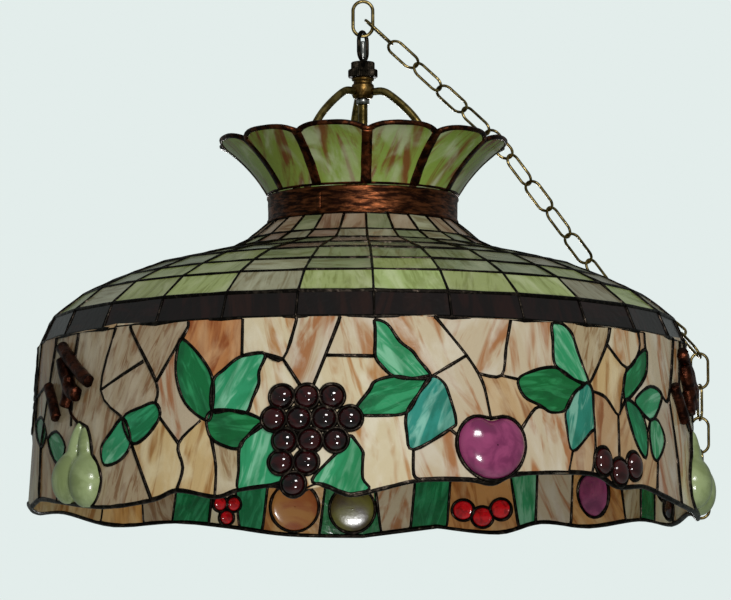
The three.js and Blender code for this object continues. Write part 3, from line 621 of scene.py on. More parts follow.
def grapes(bearing, height):
    made = []
    for row, (count, shift) in enumerate(GRAPE_ROWS):
        for i in range(count):
            side = shift + (i - (count - 1) / 2) * GRAPE_STEP
            middle = bearing + side / ALONG
            made.append((middle, height - row * GRAPE_DROP, GRAPE_RADIUS, GRAPE_RADIUS, GRAPE_DEPTH))
    return made


# Each fruit is its bearing, its height, half its width, half its height and how far it domes out
DOMES = [
    ("grapes_front", "grape", grapes(-9, -76)),
    ("grapes_back", "grape", grapes(110, -74)),
    ("apple_front", "apple", [(21, -121, 34, 32.5, 14)]),
    ("apple_back", "apple", [(132, -133, 23, 25, 12)]),
    ("peach", "peach", [(-167, -141, 27, 27, 12)]),
    ("fig", "fig", [(-178, -143, 25, 26, 11)]),
    ("dates", "date", [
        (42.6, -131, 11.5, 14, 8), (46.4, -140, 12, 13.5, 8), (50.3, -133, 11.5, 14, 8)]),
    ("cherries", "berry", [
        (-152.2, -139, 8.5, 8.5, 7), (-155, -139, 8.5, 8.5, 7), (-153.6, -154, 8.5, 8.5, 7)]),
    ("raspberries", "berry", [
        (160.8, -145, 12.5, 11.5, 9), (157, -153, 12.5, 11.5, 9), (153.2, -145, 12.5, 11.5, 9)]),
]
APPLE_DIP = 0.2
APPLE_SHOULDERS = 0.07  # how much wider an apple is above its middle


def reach(kind, turn):
    """Width and height of a fruit's outline in one direction, as shares of its half width and height."""
    if kind != "apple":
        return math.cos(turn), math.sin(turn)
    from_top = (turn + math.pi / 2) % math.tau - math.pi
    size = 1 - APPLE_DIP * math.exp(-(from_top / 0.38) ** 2)
    return size * math.cos(turn) * (1 + APPLE_SHOULDERS * math.sin(turn)), size * math.sin(turn)


def fruit_ring(kind, bearing, height, half_width, half_height, steps=36):
    ring = []
    for k in range(steps):
        wide, tall = reach(kind, math.tau * k / steps)
        ring.append((bearing + half_width * wide / ALONG, height + half_height * tall))
    return ring


print(sum(len(fruit) for _, _, fruit in DOMES), "domed fruits")

# %% [markdown]
# Glass lies between the lines. The lines are laid out flat, as the skirt unrolls, and a constrained
# triangulation fills them: each lead becomes a row of triangle edges. Neighbouring triangles with no
# lead between them belong to the same piece of glass, so a flood fill finds the pieces.

# %% Cut the skirt's glass
SNAP = 5.0  # leads that end this near each other, in millimetres, meet


def flat(point):
    return Vector((point[0] * ALONG, point[1]))


class Corners:
    """The places where leads meet, so that lines that nearly meet do."""

    def __init__(self):
        self.known = []

    def snap(self, point):
        here = flat(point)
        for other in self.known:
            if (flat(other) - here).length < SNAP:
                return other
        self.known.append(point)
        return point


def stretched(points, by=3.0):
    """The line with both its ends a little longer, so that it reaches into the next lead."""
    first = flat(points[0]) + (flat(points[0]) - flat(points[1])).normalized() * by
    last = flat(points[-1]) + (flat(points[-1]) - flat(points[-2])).normalized() * by
    ends = [(end.x / ALONG, min(end.y, 0)) for end in (first, last)]
    return [ends[0], *points[1:-1], ends[1]]


corners = Corners()
outlines = [(kind, smooth_line([corners.snap(p) for p in points], 4, closed=True))
            for kind, points in leaves]
strips = [smooth_line([corners.snap(p) for p in points], 4) for points in leads]
rings = [fruit_ring(kind, *fruit[:4]) for _, kind, group in DOMES for fruit in group]


def cut_lines():
    """Points and edges of every lead, the rim, the top edge and the skirt's own seam, laid flat."""
    points = []
    edges = []

    def add(line, closed=False):
        first = len(points)
        points.extend(flat(point) for point in line)
        edges.extend((first + i, first + i + 1) for i in range(len(line) - 1))
        if closed:
            edges.append((first + len(line) - 1, first))

    for _, outline in outlines:
        add(outline, closed=True)
    for strip in strips:
        add(stretched(strip))
    for ring in rings:
        add(ring, closed=True)
    edge = [(bearing, rim_height(bearing)) for bearing in range(-180, 181, 3)]
    top = [(bearing, -0.3) for bearing in range(180, -181, -3)]
    add([*edge, *top], closed=True)
    for column in range(-178, 180, 4):
        for height in range(-10, -150, -14):
            points.append(flat((column, height)))
    return points, edges


def flood(triangles, walls):
    """The number of the piece that each triangle belongs to."""
    beside = {}
    for i, corner in enumerate(triangles):
        for a, b in zip(corner, [*corner[1:], corner[0]]):
            beside.setdefault(frozenset((a, b)), []).append(i)
    number = [None] * len(triangles)
    count = 0
    for start in range(len(triangles)):
        if number[start] is not None:
            continue
        waiting = [start]
        number[start] = count
        while waiting:
            here = waiting.pop()
            corner = triangles[here]
            for a, b in zip(corner, [*corner[1:], corner[0]]):
                edge = frozenset((a, b))
                if edge in walls:
                    continue
                for other in beside[edge]:
                    if number[other] is None:
                        number[other] = count
                        waiting.append(other)
        count += 1
    return number, count


flat_points, lead_edges = cut_lines()
laid, laid_edges, triangles, _, edge_from, _ = delaunay_2d_cdt(flat_points, lead_edges, [], 0, 0.01)
walls = {frozenset(edge) for edge, source in zip(laid_edges, edge_from) if source}
piece_of, pieces_cut = flood(triangles, walls)
print(pieces_cut, "pieces of glass in the skirt from", len(triangles), "triangles")

# %% [markdown]
# Each piece gets its kind of glass from the leaf it lies in. What lies in no leaf is one of the streaky
# creams, and each upright piece in the strip along the back's edge has the kind that the strip lists. A
# real piece is flat and lies at its own small angle, which is why a leaded shade glitters, so each one
# is tilted a little.

# %% Choose the glass
GROUND = ["cream", "cream", "cream", "caramel", "cream", "mottled", "caramel"]
KINDS = ["cream", "caramel", "amber", "mottled", "leaf", "light_leaf", "blue_leaf", "border"]
GAP_AREA = 90  # square millimetres: glass between grapes is smaller, and it is dark
CHOSEN = [(-30, -20, -36, 0, "amber"), (-31, -24, -200, -97, "caramel")]  # arc, heights, kind
SHEET_SIZE = 900  # millimetres along each side of a whole sheet
MOST_LIFT = 0.6  # millimetres that a tilted piece may stand out at its edge


def inside(point, outline):
    hit = False
    for (x0, y0), (x1, y1) in zip(outline, [*outline[1:], outline[0]]):
        if (y0 > point[1]) != (y1 > point[1]):
            if point[0] < (x1 - x0) * (point[1] - y0) / (y1 - y0) + x0:
                hit = not hit
    return hit


def between_grapes(bearing, height):
    fruit = [grape for _, kind, group in DOMES if kind == "grape" for grape in group]
    return any(math.hypot((bearing - b) * ALONG, height - h) < 1.6 * GRAPE_RADIUS for b, h, *_ in fruit)


def kind_at(bearing, height, area, dice):
    if area < GAP_AREA and between_grapes(bearing, height):
        return "border"
    for kind, outline in outlines:
        if inside((bearing, height), outline):
            return kind
    round_back = bearing % 360
    if height < STRIP_TOP and STRIP[0][0] < round_back < STRIP[-1][0]:
        return [kind for start, kind in STRIP if start < round_back][-1]
    for left, right, low, high, kind in CHOSEN:
        if left < bearing < right and low < height < high:
            return kind
    return dice.choice(GROUND)


def cells():
    """For each piece: its triangles, its middle, its long way, its place and its area."""
    groups = {}
    for number, corner in zip(piece_of, triangles):
        groups.setdefault(number, []).append(corner)
    made = []
    for number, group in sorted(groups.items()):
        area = 0
        middle = Vector((0, 0))
        for a, b, c in group:
            size = abs((laid[b] - laid[a]).cross(laid[c] - laid[a])) / 2
            area += size
            middle += (laid[a] + laid[b] + laid[c]) * size / 3
        middle /= max(area, 1e-9)
        bearing, height = middle.x / ALONG, middle.y
        sums = [laid[a] + laid[b] + laid[c] for a, b, c in group]
        outside = sum(total.y / 3 < rim_height(total.x / 3 / ALONG) for total in sums)
        if outside > len(group) / 2:
            continue
        used = {i for corner in group for i in corner}
        xx = sum((laid[i].x - middle.x) ** 2 for i in used)
        yy = sum((laid[i].y - middle.y) ** 2 for i in used)
        xy = sum((laid[i].x - middle.x) * (laid[i].y - middle.y) for i in used)
        made.append((group, middle, 0.5 * math.atan2(2 * xy, xx - yy), (bearing, height), area))
    return made


def spot(dice):
    """A place on a sheet of glass that a piece might be cut from."""
    return [dice.uniform(0, SHEET_SIZE) for _ in range(3)]


def on_sheet(origin, turn, across, along):
    """Where a point of a piece lay on its sheet, with the first number along the streaks."""
    sin, cos = math.sin(turn), math.cos(turn)
    return origin[0] + along * cos + across * sin, origin[1] + across * cos - along * sin, origin[2]


def note_sheet(made, grain, cast):
    note(made, "grain", "FLOAT_VECTOR", grain)
    note(made, "cast", "FLOAT", cast)


def skirt_glass():
    dice = random.Random(7)
    points, faces, choice, grain, cast = [], [], [], [], []
    for group, middle, way, (bearing, height), area in cells():
        kind = kind_at(bearing, height, area, dice)
        light = dice.random()
        turn = way if "leaf" in kind else math.pi / 2 + dice.uniform(-0.6, 0.6)
        origin = spot(dice)
        tilt = Vector((dice.uniform(-0.02, 0.02), dice.uniform(-0.02, 0.02)))
        index = {}
        for side in (0, 1):
            for i in sorted({i for corner in group for i in corner}):
                shift = laid[i] - middle
                lift = max(min(shift.dot(tilt), MOST_LIFT), -MOST_LIFT)
                index[i, side] = len(points)
                points.append(at(laid[i].x / ALONG, skirt_radius(laid[i].y) - GLASS * side + lift,
                                 laid[i].y))
                grain.extend(on_sheet(origin, turn, shift.y, shift.x))
                cast.append(light)
        for a, b, c in group:
            faces.append((index[a, 0], index[b, 0], index[c, 0]))
            faces.append((index[c, 1], index[b, 1], index[a, 1]))
            choice.extend([KINDS.index(kind)] * 2)
    finishes = [SHEET[kind] for kind in KINDS]
    solids = [f"skirt_glass_{i}" for i in range(1, 7)]
    made = piece("skirt_glass", points, faces, finishes, solids, choice=choice, smooth=False)
    note_sheet(made, grain, cast)
    return made


skirt_glass()

# %% [markdown]
# A lead line is an H-shaped strip that holds both its neighbours, about 4 mm wide, and the solder at the
# joints leaves it a little lumpy. From outside only its low round face shows, so an oval bar that runs
# through the glass and stands 1.7 mm proud on either side does.

# %% Lead the skirt
LEAD_HALF = 2.0
LEAD_DEPTH = GLASS / 2 + 1.7
LEAD_LUMPS = 0.22
RING_HALF = 2.1  # a fruit's ring is a little wider than a lead, and stands further out
RING_PROUD = 1.2


def on_skirt(line, proud=-GLASS / 2):
    return [at(bearing, skirt_radius(height) + proud, height) for bearing, height in line]


def skirt_leads():
    shape = Shape()
    lines = [(outline, True) for _, outline in outlines] + [(strip, False) for strip in strips]
    for line, closed in lines:
        kept = [(bearing, min(max(height, rim_height(bearing)), -0.5)) for bearing, height in line]
        outs = [outward(bearing) for bearing, _ in kept]
        shape.bar(on_skirt(kept), outs, LEAD_HALF, LEAD_DEPTH, 8, closed, LEAD_LUMPS)
    seam = [(180, height) for height in range(-1, -171, -10)]
    shape.bar(on_skirt(seam), [outward(180)] * len(seam), LEAD_HALF, LEAD_DEPTH, 8, lumps=LEAD_LUMPS)
    for ring in rings:
        outs = [outward(bearing) for bearing, _ in ring]
        shape.bar(on_skirt(ring), outs, RING_HALF, LEAD_DEPTH + RING_PROUD, 8, True, lumps=0.25)
    return piece("skirt_leads", shape.points, shape.faces, [LEAD])


skirt_leads()


def rim_bead():
    wave = [(bearing, -depth) for bearing, depth in RIM_WAVE[:-1]]
    line = smooth_line(wave, 6)
    outs = [outward(bearing) for bearing, _ in line]
    shape = Shape()
    shape.bar(on_skirt(line), outs, 2.5, 2.5, 10, True, lumps=0.12)
    return piece("rim_bead_soldered", shape.points, shape.faces, [LEAD], ["rim_bead"])


rim_bead()

# %% [markdown]
# ## The shoulder
# Rows of straight tiles climb from the skirt to the collar, 28 to a row, in beige, olive, rosy tan and
# lime, with most of the lime in the lowest row. Under them lies the dark border. A tile is flat, so only
# its four corners lie on the round shape. An array modifier could repeat one tile, but here each tile
# leans its own way and is cut from its own sheet.

# %% Tiles
SHOULDER_ROWS = [  # how far out and how far up each row's lower edge is, as shares
    (0.1, 0.85), (0.19, 0.765), (0.36, 0.69), (0.54, 0.61),
    (0.695, 0.495), (0.825, 0.38), (0.95, 0.2), (1, 0),
]
TILES_ROUND = 28
TILE_START = 1.83
TILE_STEP = 360 / TILES_ROUND
TILE_SPANS = 3  # each face of a tile is a grid of 3 by 3
slope = [(COLLAR_RADIUS, COLLAR_BOTTOM)]
slope += [(lerp(COLLAR_RADIUS, SHADE_RADIUS, out), COLLAR_BOTTOM * up) for out, up in SHOULDER_ROWS]


def tile_edges():
    return [TILE_START + i * TILE_STEP for i in range(TILES_ROUND)]


def slope_out(low, high, bearing):
    """The way that faces out from the slope between two of its places."""
    (r0, h0), (r1, h1) = slope[low], slope[high]
    return (outward(bearing) * (h1 - h0) + Vector((0, 0, r0 - r1))).normalized()


def tile_face(corner, out, lean):
    """The grid of points on the outer face of a tile that leans a little off its four corners."""
    made = []
    for down in range(TILE_SPANS + 1):
        for side in range(TILE_SPANS + 1):
            u, v = side / TILE_SPANS, down / TILE_SPANS
            point = corner[0].lerp(corner[1], u).lerp(corner[3].lerp(corner[2], u), v)
            lift = lerp(lerp(lean[0], lean[1], u), lerp(lean[2], lean[3], u), v)
            made.append(point + out * (lift / 1000))
    return made


def add_skin(shape, skin, inner):
    """One face of a tile, seen from outside or, for the inner one, from inside the shade."""
    first = len(shape.points)
    shape.points.extend(skin)
    for down in range(TILE_SPANS):
        for side in range(TILE_SPANS):
            a = first + down * (TILE_SPANS + 1) + side
            face = (a, a + 1, a + TILE_SPANS + 2, a + TILE_SPANS + 1)
            shape.faces.append(face[::-1] if inner else face)


def tiles(name, rows, kinds, solids, seed):
    """Rows of tiles, each with its own list of the kinds of glass that its tiles are picked from."""
    dice = random.Random(seed)
    sheets = sorted({kind for row in kinds for kind in row})
    shape = Shape()
    grain, cast, choice = [], [], []
    for row, row_kinds in zip(rows, kinds):
        (r0, h0), (r1, h1) = slope[row + 1], slope[row]
        wide = r0 * math.radians(TILE_STEP)
        tall = math.hypot(r1 - r0, h1 - h0)
        for edge in tile_edges():
            light = dice.random()
            which = sheets.index(dice.choice(row_kinds))
            origin = spot(dice)
            turn = dice.choice((0, 0, 0, 1.57)) + dice.uniform(-0.25, 0.25)
            lean = [dice.uniform(-0.5, 0.5) for _ in range(4)]
            out = slope_out(row + 1, row, edge + TILE_STEP / 2)
            corner = [at(edge, r0, h0), at(edge + TILE_STEP, r0, h0),
                      at(edge + TILE_STEP, r1, h1), at(edge, r1, h1)]
            outer = tile_face(corner, out, lean)
            inner = [point - out * (GLASS / 1000) for point in outer]
            add_skin(shape, outer, False)
            add_skin(shape, inner, True)
            choice.extend([which] * (2 * TILE_SPANS ** 2))
            for k in range(2 * len(outer)):
                down, side = divmod(k % len(outer), TILE_SPANS + 1)
                grain.extend(on_sheet(origin, turn, side / TILE_SPANS * wide, down / TILE_SPANS * tall))
                cast.append(light)
    finishes = [SHEET[kind] for kind in sheets]
    made = piece(name, shape.points, shape.faces, finishes, solids, choice=choice, smooth=False)
    note_sheet(made, grain, cast)
    return made


HIGH_ROW = ["beige", "olive", "olive", "rosy_tan"]
MIDDLE_ROW = ["lime", "beige", "olive", "olive"]
LOW_ROW = ["lime", "lime", "lime", "beige"]
tiles("shoulder_tiles", range(0, 7), [HIGH_ROW] * 4 + [MIDDLE_ROW] * 2 + [LOW_ROW],
      [f"shoulder_glass_{i}" for i in range(1, 5)], 3)
tiles("border_tiles", [7], [["border"]], ["border_band"], 5)

# %% [markdown]
# The shoulder's leads run round in rings and down in straight lines, with a joint at every corner of a
# tile. The two rings of the border are wider.

# %% Lead the shoulder
RING_PARTS = 4  # a ring lead bends at every quarter of a tile
DOWN_PARTS = 5
TILE_LEAD = 1.6  # half widths
BORDER_LEAD = 2.4
BORDER_ROW = 7
TILE_LUMPS = 0.2


def ring_lead(shape, row, half_width):
    radius, height = slope[row]
    line, outs = [], []
    for edge in tile_edges():
        start = at(edge, radius, height)
        end = at(edge + TILE_STEP, radius, height)
        for part in range(RING_PARTS):
            bearing = edge + part * 90 / TILES_ROUND
            out = slope_out(min(row + 1, len(slope) - 1), max(row - 1, 0), bearing)
            line.append(start.lerp(end, part / RING_PARTS) - out * (GLASS / 2000))
            outs.append(out)
    shape.bar(line, outs, half_width, LEAD_DEPTH, 8, True, TILE_LUMPS)


def down_leads(shape, row, half_width):
    (r0, h0), (r1, h1) = slope[row + 1], slope[row]
    shares = [part / DOWN_PARTS for part in range(DOWN_PARTS + 1)]
    for edge in tile_edges():
        out = slope_out(row + 1, row, edge)
        line = [at(edge, lerp(r0, r1, share), lerp(h0, h1, share)) - out * (GLASS / 2000)
                for share in shares]
        shape.bar(line, [out] * len(line), half_width, LEAD_DEPTH, 8, lumps=TILE_LUMPS)


def slope_leads():
    shape = Shape()
    for row in range(len(slope)):
        ring_lead(shape, row, BORDER_LEAD if row >= BORDER_ROW else TILE_LEAD)
    for row in range(len(slope) - 1):
        down_leads(shape, row, TILE_LEAD)
    return piece("shoulder_leads", shape.points, shape.faces, [LEAD])


slope_leads()

# %% [markdown]
# ## The crown
# Twelve flared petals of one glass each stand on the collar, between broad ribs wrapped in copper foil.
# Their outline from foot to tip is one smooth bend, so a quadratic curve gives it, and a petal's top edge
# is an arc between its ribs.

# %% The crown's outline
CROWN_PANELS = 12
PANEL_STEP = 360 / CROWN_PANELS
CROWN_TURN = 1.8
CROWN_FOOT = (COLLAR_RADIUS, COLLAR_TOP + 0.6)
CROWN_TIP = (148, 212)
CROWN_BEND = (lerp(CROWN_FOOT[0], CROWN_TIP[0], 0.36), lerp(CROWN_FOOT[1], CROWN_TIP[1], 0.6))
RIB_HALF = 6
TOP_DIP = 0.13  # how far a petal's top edge falls towards its ribs, as a share of its length


def crown_point(share):
    return tuple(
        (1 - share) ** 2 * foot + 2 * share * (1 - share) * bend + share ** 2 * tip
        for foot, bend, tip in zip(CROWN_FOOT, CROWN_BEND, CROWN_TIP)
    )


def crown_out(share):
    """Out and up from the crown's outer face, in its upright section."""
    (r0, h0), (r1, h1) = crown_point(share - 0.01), crown_point(share + 0.01)
    length = math.hypot(r1 - r0, h1 - h0)
    return (h1 - h0) / length, -(r1 - r0) / length


def petal_top(bearing):
    share = ((bearing - CROWN_TURN) % PANEL_STEP) / PANEL_STEP
    return 1 - TOP_DIP * abs(2 * share - 1) ** 3


def crown_place(bearing, share, sunk=0.0):
    radius, height = crown_point(share)
    out, up = crown_out(share)
    return at(bearing, radius - out * sunk, height - up * sunk)


print("the crown flares from", CROWN_FOOT[0], "to", CROWN_TIP[0], "mm")

# %% [markdown]
# A petal is slumped: the cut glass is laid over a curved mould in a kiln until it sags to its shape. So
# its two faces are one bent grid, set apart by the glass's thickness, with the streaks running up it.

# %% Petals of glass
PETAL_LENGTH = 75


def petals():
    dice = random.Random(11)
    shape = Shape()
    grain, cast = [], []
    across, up = 12, 14
    for number in range(CROWN_PANELS):
        middle = CROWN_TURN + (number + 0.5) * PANEL_STEP
        light = dice.random()
        origin = spot(dice)
        turn = dice.uniform(-0.35, 0.35)
        for sunk in (0.0, GLASS):
            rows = []
            for k in range(up + 1):
                row = []
                for i in range(across + 1):
                    side = 2 * i / across - 1
                    top = petal_top(middle + side * 14.9) - 0.02
                    share = lerp(0.03, top, k / up)
                    radius = crown_point(share)[0]
                    half = PANEL_STEP / 2 - math.degrees((RIB_HALF - 2) / radius)
                    row.append(crown_place(middle + side * half, share, sunk))
                    beside = side * half * radius * math.pi / 180
                    grain.extend(on_sheet(origin, turn, beside, k / up * PETAL_LENGTH))
                    cast.append(light)
                rows.append(row)
            shape.grid(rows)
    solids = [f"crown_petal_{i:02d}" for i in range(1, CROWN_PANELS + 1)]
    made = piece("crown_petals", shape.points, shape.faces, [SHEET["crown"]], solids)
    note_sheet(made, grain, cast)
    return made


petals()

# %% [markdown]
# The petals' edges are wrapped in copper foil and soldered to broad ribs, a scalloped bead runs along
# their tops and a strip round their foot. All of it is one soldered frame, so it is one piece of bars.

# %% Ribs, bead and foot in copper
def crown_frame():
    shape = Shape()
    for number in range(CROWN_PANELS):
        bearing = CROWN_TURN + number * PANEL_STEP
        shares = [lerp(0.02, petal_top(bearing), k / 16) for k in range(17)]
        line = [crown_place(bearing, share, GLASS / 2) for share in shares]
        outs = []
        for share in shares:
            out, up = crown_out(share)
            outs.append((outward(bearing) * out + Vector((0, 0, up))).normalized())
        shape.bar(line, outs, RIB_HALF + 0.8, 2.4, 12, lumps=0.06)
    steps = 180
    bearings = [360 * i / steps for i in range(steps)]
    bead = [crown_place(bearing, petal_top(bearing), GLASS / 2) for bearing in bearings]
    outs = [outward(bearing) for bearing in bearings]
    shape.bar(bead, outs, 2.6, 2.6, 12, True, lumps=0.12)
    foot = [crown_place(bearing, 0.03, 2) for bearing in bearings]
    shape.bar(foot, outs, 2.4, 2.2, 10, True, lumps=0.1)
    return piece("crown_copper_frame", shape.points, shape.faces, [FOIL], ["crown_frame"])


crown_frame()

# %% [markdown]
# The collar is a strip of sheet copper bent into a ring and hammered, with both edges rolled over a wire
# and its ends lapped at one side. The hammer marks are real dents, so the band itself is dented here.

# %% The hammered collar
def around(profile, segments=144, dent=0.0):
    """Rows of points for a ring with a closed section of radius and height."""
    rows = []
    for i in range(segments):
        bearing = 360 * i / segments
        row = []
        for radius, height in profile:
            point = at(bearing, radius, height)
            push = dent * noise.noise(point * 95)
            row.append(at(bearing, radius + push, height))
        rows.append(row)
    return rows


def collar():
    lip = 1.2
    outer = [(COLLAR_RADIUS + lip, COLLAR_BOTTOM + 0.3), (COLLAR_RADIUS + lip, COLLAR_BOTTOM + 2.6),
             (COLLAR_RADIUS + 0.5, COLLAR_BOTTOM + 3.8), (COLLAR_RADIUS, COLLAR_BOTTOM + 5)]
    outer += [(COLLAR_RADIUS, lerp(COLLAR_BOTTOM + 5, COLLAR_TOP - 5, k / 5)) for k in range(1, 6)]
    outer += [(COLLAR_RADIUS + 0.5, COLLAR_TOP - 3.8), (COLLAR_RADIUS + lip, COLLAR_TOP - 2.6),
              (COLLAR_RADIUS + lip, COLLAR_TOP)]
    inner = [(radius - 1.6, height) for radius, height in reversed(outer)]
    shape = Shape()
    shape.grid(around(outer + inner, 160, dent=0.7), close_rows=True, close_columns=True)
    lap = [at(-27, COLLAR_RADIUS + 0.4, height) for height in range(COLLAR_BOTTOM + 4, COLLAR_TOP - 3, 3)]
    shape.bar(lap, [outward(-27)] * len(lap), 2.6, 0.8, 8)
    return piece("collar_hammered", shape.points, shape.faces, [BAND], ["collar_band"])


collar()

# %% [markdown]
# ## The fruit
# A domed fruit is a lens: round and deep in front, shallow behind. It is a disc of rings, where each
# ring stands out further towards the middle. An apple's outline has a dip under its stalk, and a
# raspberry's face is covered with small round drupelets, about 5 mm apart.

# %% Domes
RING_ROOM = 1.2  # the lead ring laps over the fruit's edge by about this much
SPOKES, HOOPS = 40, 14
BACK_BULGE = 3.2  # a fruit swells a little inside the shade too
STALK_DENT = 4.5
STALK_WIDTH = 9
DRUPELET = 0.9


def dome_stand(kind, x, y, half_height, share, drupes):
    """What the front face of a fruit adds to, or takes from, its plain dome."""
    stand = 0
    if kind == "apple":
        above = (y - half_height * 0.72) / STALK_WIDTH
        stand -= STALK_DENT * math.exp(-((x / STALK_WIDTH) ** 2 + above ** 2))
    if drupes:
        stand += DRUPELET * math.cos(x * 1.35) * math.cos(y * 1.35 + x * 0.5) * (1 - share ** 2)
    return stand


def dome(shape, kind, bearing, height, half_width, half_height, depth, drupes=False):
    for deep, base, back in ((depth, 0.2, False), (-BACK_BULGE, -GLASS - 0.2, True)):
        rows = []
        for hoop in range(HOOPS + 1):
            share = max(hoop / HOOPS, 0.02)
            ring = []
            for spoke in range(SPOKES):
                wide, tall = reach(kind, math.tau * spoke / SPOKES * (-1 if back else 1))
                x = (half_width - RING_ROOM) * share * wide
                y = (half_height - RING_ROOM) * share * tall
                stand = base + deep * math.sqrt(max(1 - share ** 2, 0))
                if not back:
                    stand += dome_stand(kind, x, y, half_height, share, drupes)
                ring.append(at(bearing + x / ALONG, skirt_radius(height + y) + stand, height + y))
            rows.append(ring)
        shape.grid(rows, close_columns=True)
        last = len(shape.points) - SPOKES * (HOOPS + 1)
        shape.faces.append(tuple(range(last, last + SPOKES)))


for name, kind, group in DOMES:
    shape = Shape()
    for fruit in group:
        dome(shape, kind, *fruit, drupes=name == "raspberries")
    piece(f"{name}_glass", shape.points, shape.faces, [FRUIT[kind]], [name])

# %% [markdown]
# The pears are the boldest: pressed hollow glass that stands almost 20 mm out. A pear's half width is
# that of a round body and a slim neck blended, so one sum of powers gives its outline all the way up.
# The two of a pair lean together, so that their stalks meet, and one lead runs round both.

# %% Pears
PEARS = {"pears_left": (-53.6, -92), "pears_right": (79, -90)}  # bearing and height of the stalks
PEAR_BODY = (51, 25.5, 19)  # its middle under the stalk, its half height and its half width
PEAR_NECK = (26, 29, 8.5)
PEAR_BLEND = 2.6
PEAR_TOP, PEAR_FOOT = -2.7, 76  # under the stalk
PEAR_DROP = 5  # how much lower the right pear of a pair hangs
PEAR_SECTIONS = 32
PEAR_SIDES = 28


def blended(drop):
    """The reach of the body's and the neck's ellipses at a height below the stalk."""
    total = 0
    for middle, half_height, half_width in (PEAR_BODY, PEAR_NECK):
        share = (drop - middle) / half_height
        if abs(share) < 1:
            total += (half_width * math.sqrt(1 - share ** 2)) ** PEAR_BLEND
    return total ** (1 / PEAR_BLEND)


def pear_section(k):
    """How far section k is under the stalk, how wide it is and how far it leans from the middle."""
    drop = lerp(PEAR_TOP, PEAR_FOOT, 0.5 - 0.5 * math.cos(math.pi * k / PEAR_SECTIONS))
    return drop, blended(drop) + 0.05, lerp(5, 16, min(max(drop / 50, 0), 1))


def pear(shape, middle, stalk, side):
    """One pear of a pair: side is -1 for the left one and 1 for the right one."""
    rows = []
    for k in range(PEAR_SECTIONS + 1):
        drop, wide, lean = pear_section(k)
        ring = []
        for i in range(PEAR_SIDES + 1):
            turn = math.pi * i / PEAR_SIDES
            x, stand = side * lean - wide * math.cos(turn), wide * math.sin(turn) + 0.2
            ring.append(at(middle + x / ALONG, skirt_radius(stalk - drop) + stand, stalk - drop))
        rows.append(ring[::-1])
    shape.grid(rows, close_columns=True)


def pear_lead(shape, middle, stalk):
    left, right = [], []
    for k in range(PEAR_SECTIONS + 1):
        drop, wide, lean = pear_section(k)
        left.append((middle - (lean + wide) / ALONG, stalk - drop))
        right.append((middle + (lean + wide) / ALONG, stalk - PEAR_DROP - drop))
    line = left + right[::-1]
    kept = [(bearing, max(height, rim_height(bearing))) for bearing, height in line]
    outs = [outward(bearing) for bearing, _ in kept]
    shape.bar(on_skirt(kept), outs, 2, LEAD_DEPTH + 1, 8, True, lumps=0.2)


pear_leads = Shape()
for name, (middle, stalk) in PEARS.items():
    shape = Shape()
    pear(shape, middle, stalk, -1)
    pear(shape, middle, stalk - PEAR_DROP, 1)
    piece(f"{name}_glass", shape.points, shape.faces, [FRUIT["pear"]], [name])
    pear_lead(pear_leads, middle, stalk)
piece("pear_leads", pear_leads.points, pear_leads.faces, [LEAD])

# %% [markdown]
# Over each pair of pears lie stubs of twig, cast in copper and browned: two straight ones, a knotted
# middle one with a bud, and a thin stalk down to the fruit. Each is a lumpy bar, given by how many
# degrees beside the pair its points are and how far under the skirt's top.

# %% Twigs
TWIGS = [
    ([(-8, -13), (-5.5, -23), (-3, -33), (-0.5, -43), (1.9, -51)], 6.6),
    ([(-13.5, -49), (-12, -58), (-10.5, -68), (-8.7, -82)], 5.8),
    ([(-7, -26), (-6.2, -36), (-5, -46), (-3.4, -58), (-1.5, -62)], 7.5),
    ([(-5, -48), (-4.6, -60), (-5.4, -72)], 6.6),
    ([(-5, -70), (-4, -80), (-1.5, -90), (-0.6, -97)], 1.6),
]
BUD = (-3.8, -47, 5)  # its place in the same way, and its radius


def bud(middle):
    """Rings of a small round bud, from its foot to its top."""
    side, height, size = BUD
    rings = []
    for k in range(7):
        turn = math.pi * (k + 0.2) / 13
        ring = []
        for i in range(16):
            spin = math.tau * i / 16
            x = size * math.cos(turn) * math.cos(spin)
            y = size * math.cos(turn) * math.sin(spin)
            stand = skirt_radius(height) + 7.5 + size * math.sin(turn)
            ring.append(at(middle + side + x / ALONG, stand, height + y))
        rings.append(ring)
    return rings


def twigs():
    shape = Shape()
    for middle, _ in PEARS.values():
        for points, thick in TWIGS:
            line = smooth_line([(middle + side, height) for side, height in points], 8)
            outs = [outward(bearing) for bearing, _ in line]
            places = [at(bearing, skirt_radius(height) + thick * 0.6, height) for bearing, height in line]
            shape.bar(places, outs, thick, thick * 0.9, 14, lumps=0.12)
        shape.grid(bud(middle), close_columns=True)
        shape.faces.append(tuple(range(len(shape.points) - 16, len(shape.points))))
    return piece("twigs_cast", shape.points, shape.faces, [TWIG])


twigs()

# %% [markdown]
# ## Stem and hanger
# The weight goes from the ring in the collar up three arms to the hub, and from there through the pipe
# and the knurled nut into a loop, which hangs in the hook link. Turned pieces are a section swept round
# the axis. The sizes are those of the solid model.

# %% Turned pieces on the axis
PIPE = 5
BORE = PIPE + 0.3
HUB_TOP = 282
NUT_TIER = 7.9
NUT_TOP = HUB_TOP + 0.3 + 2 * NUT_TIER
THREAD = 1.4
PIPE_FOOT = 85.3


def turned_piece(name, section, finish, solids, segments=96):
    shape = Shape()
    shape.grid(around(section, segments), close_rows=True, close_columns=True)
    return piece(name, shape.points, shape.faces, [finish], solids)


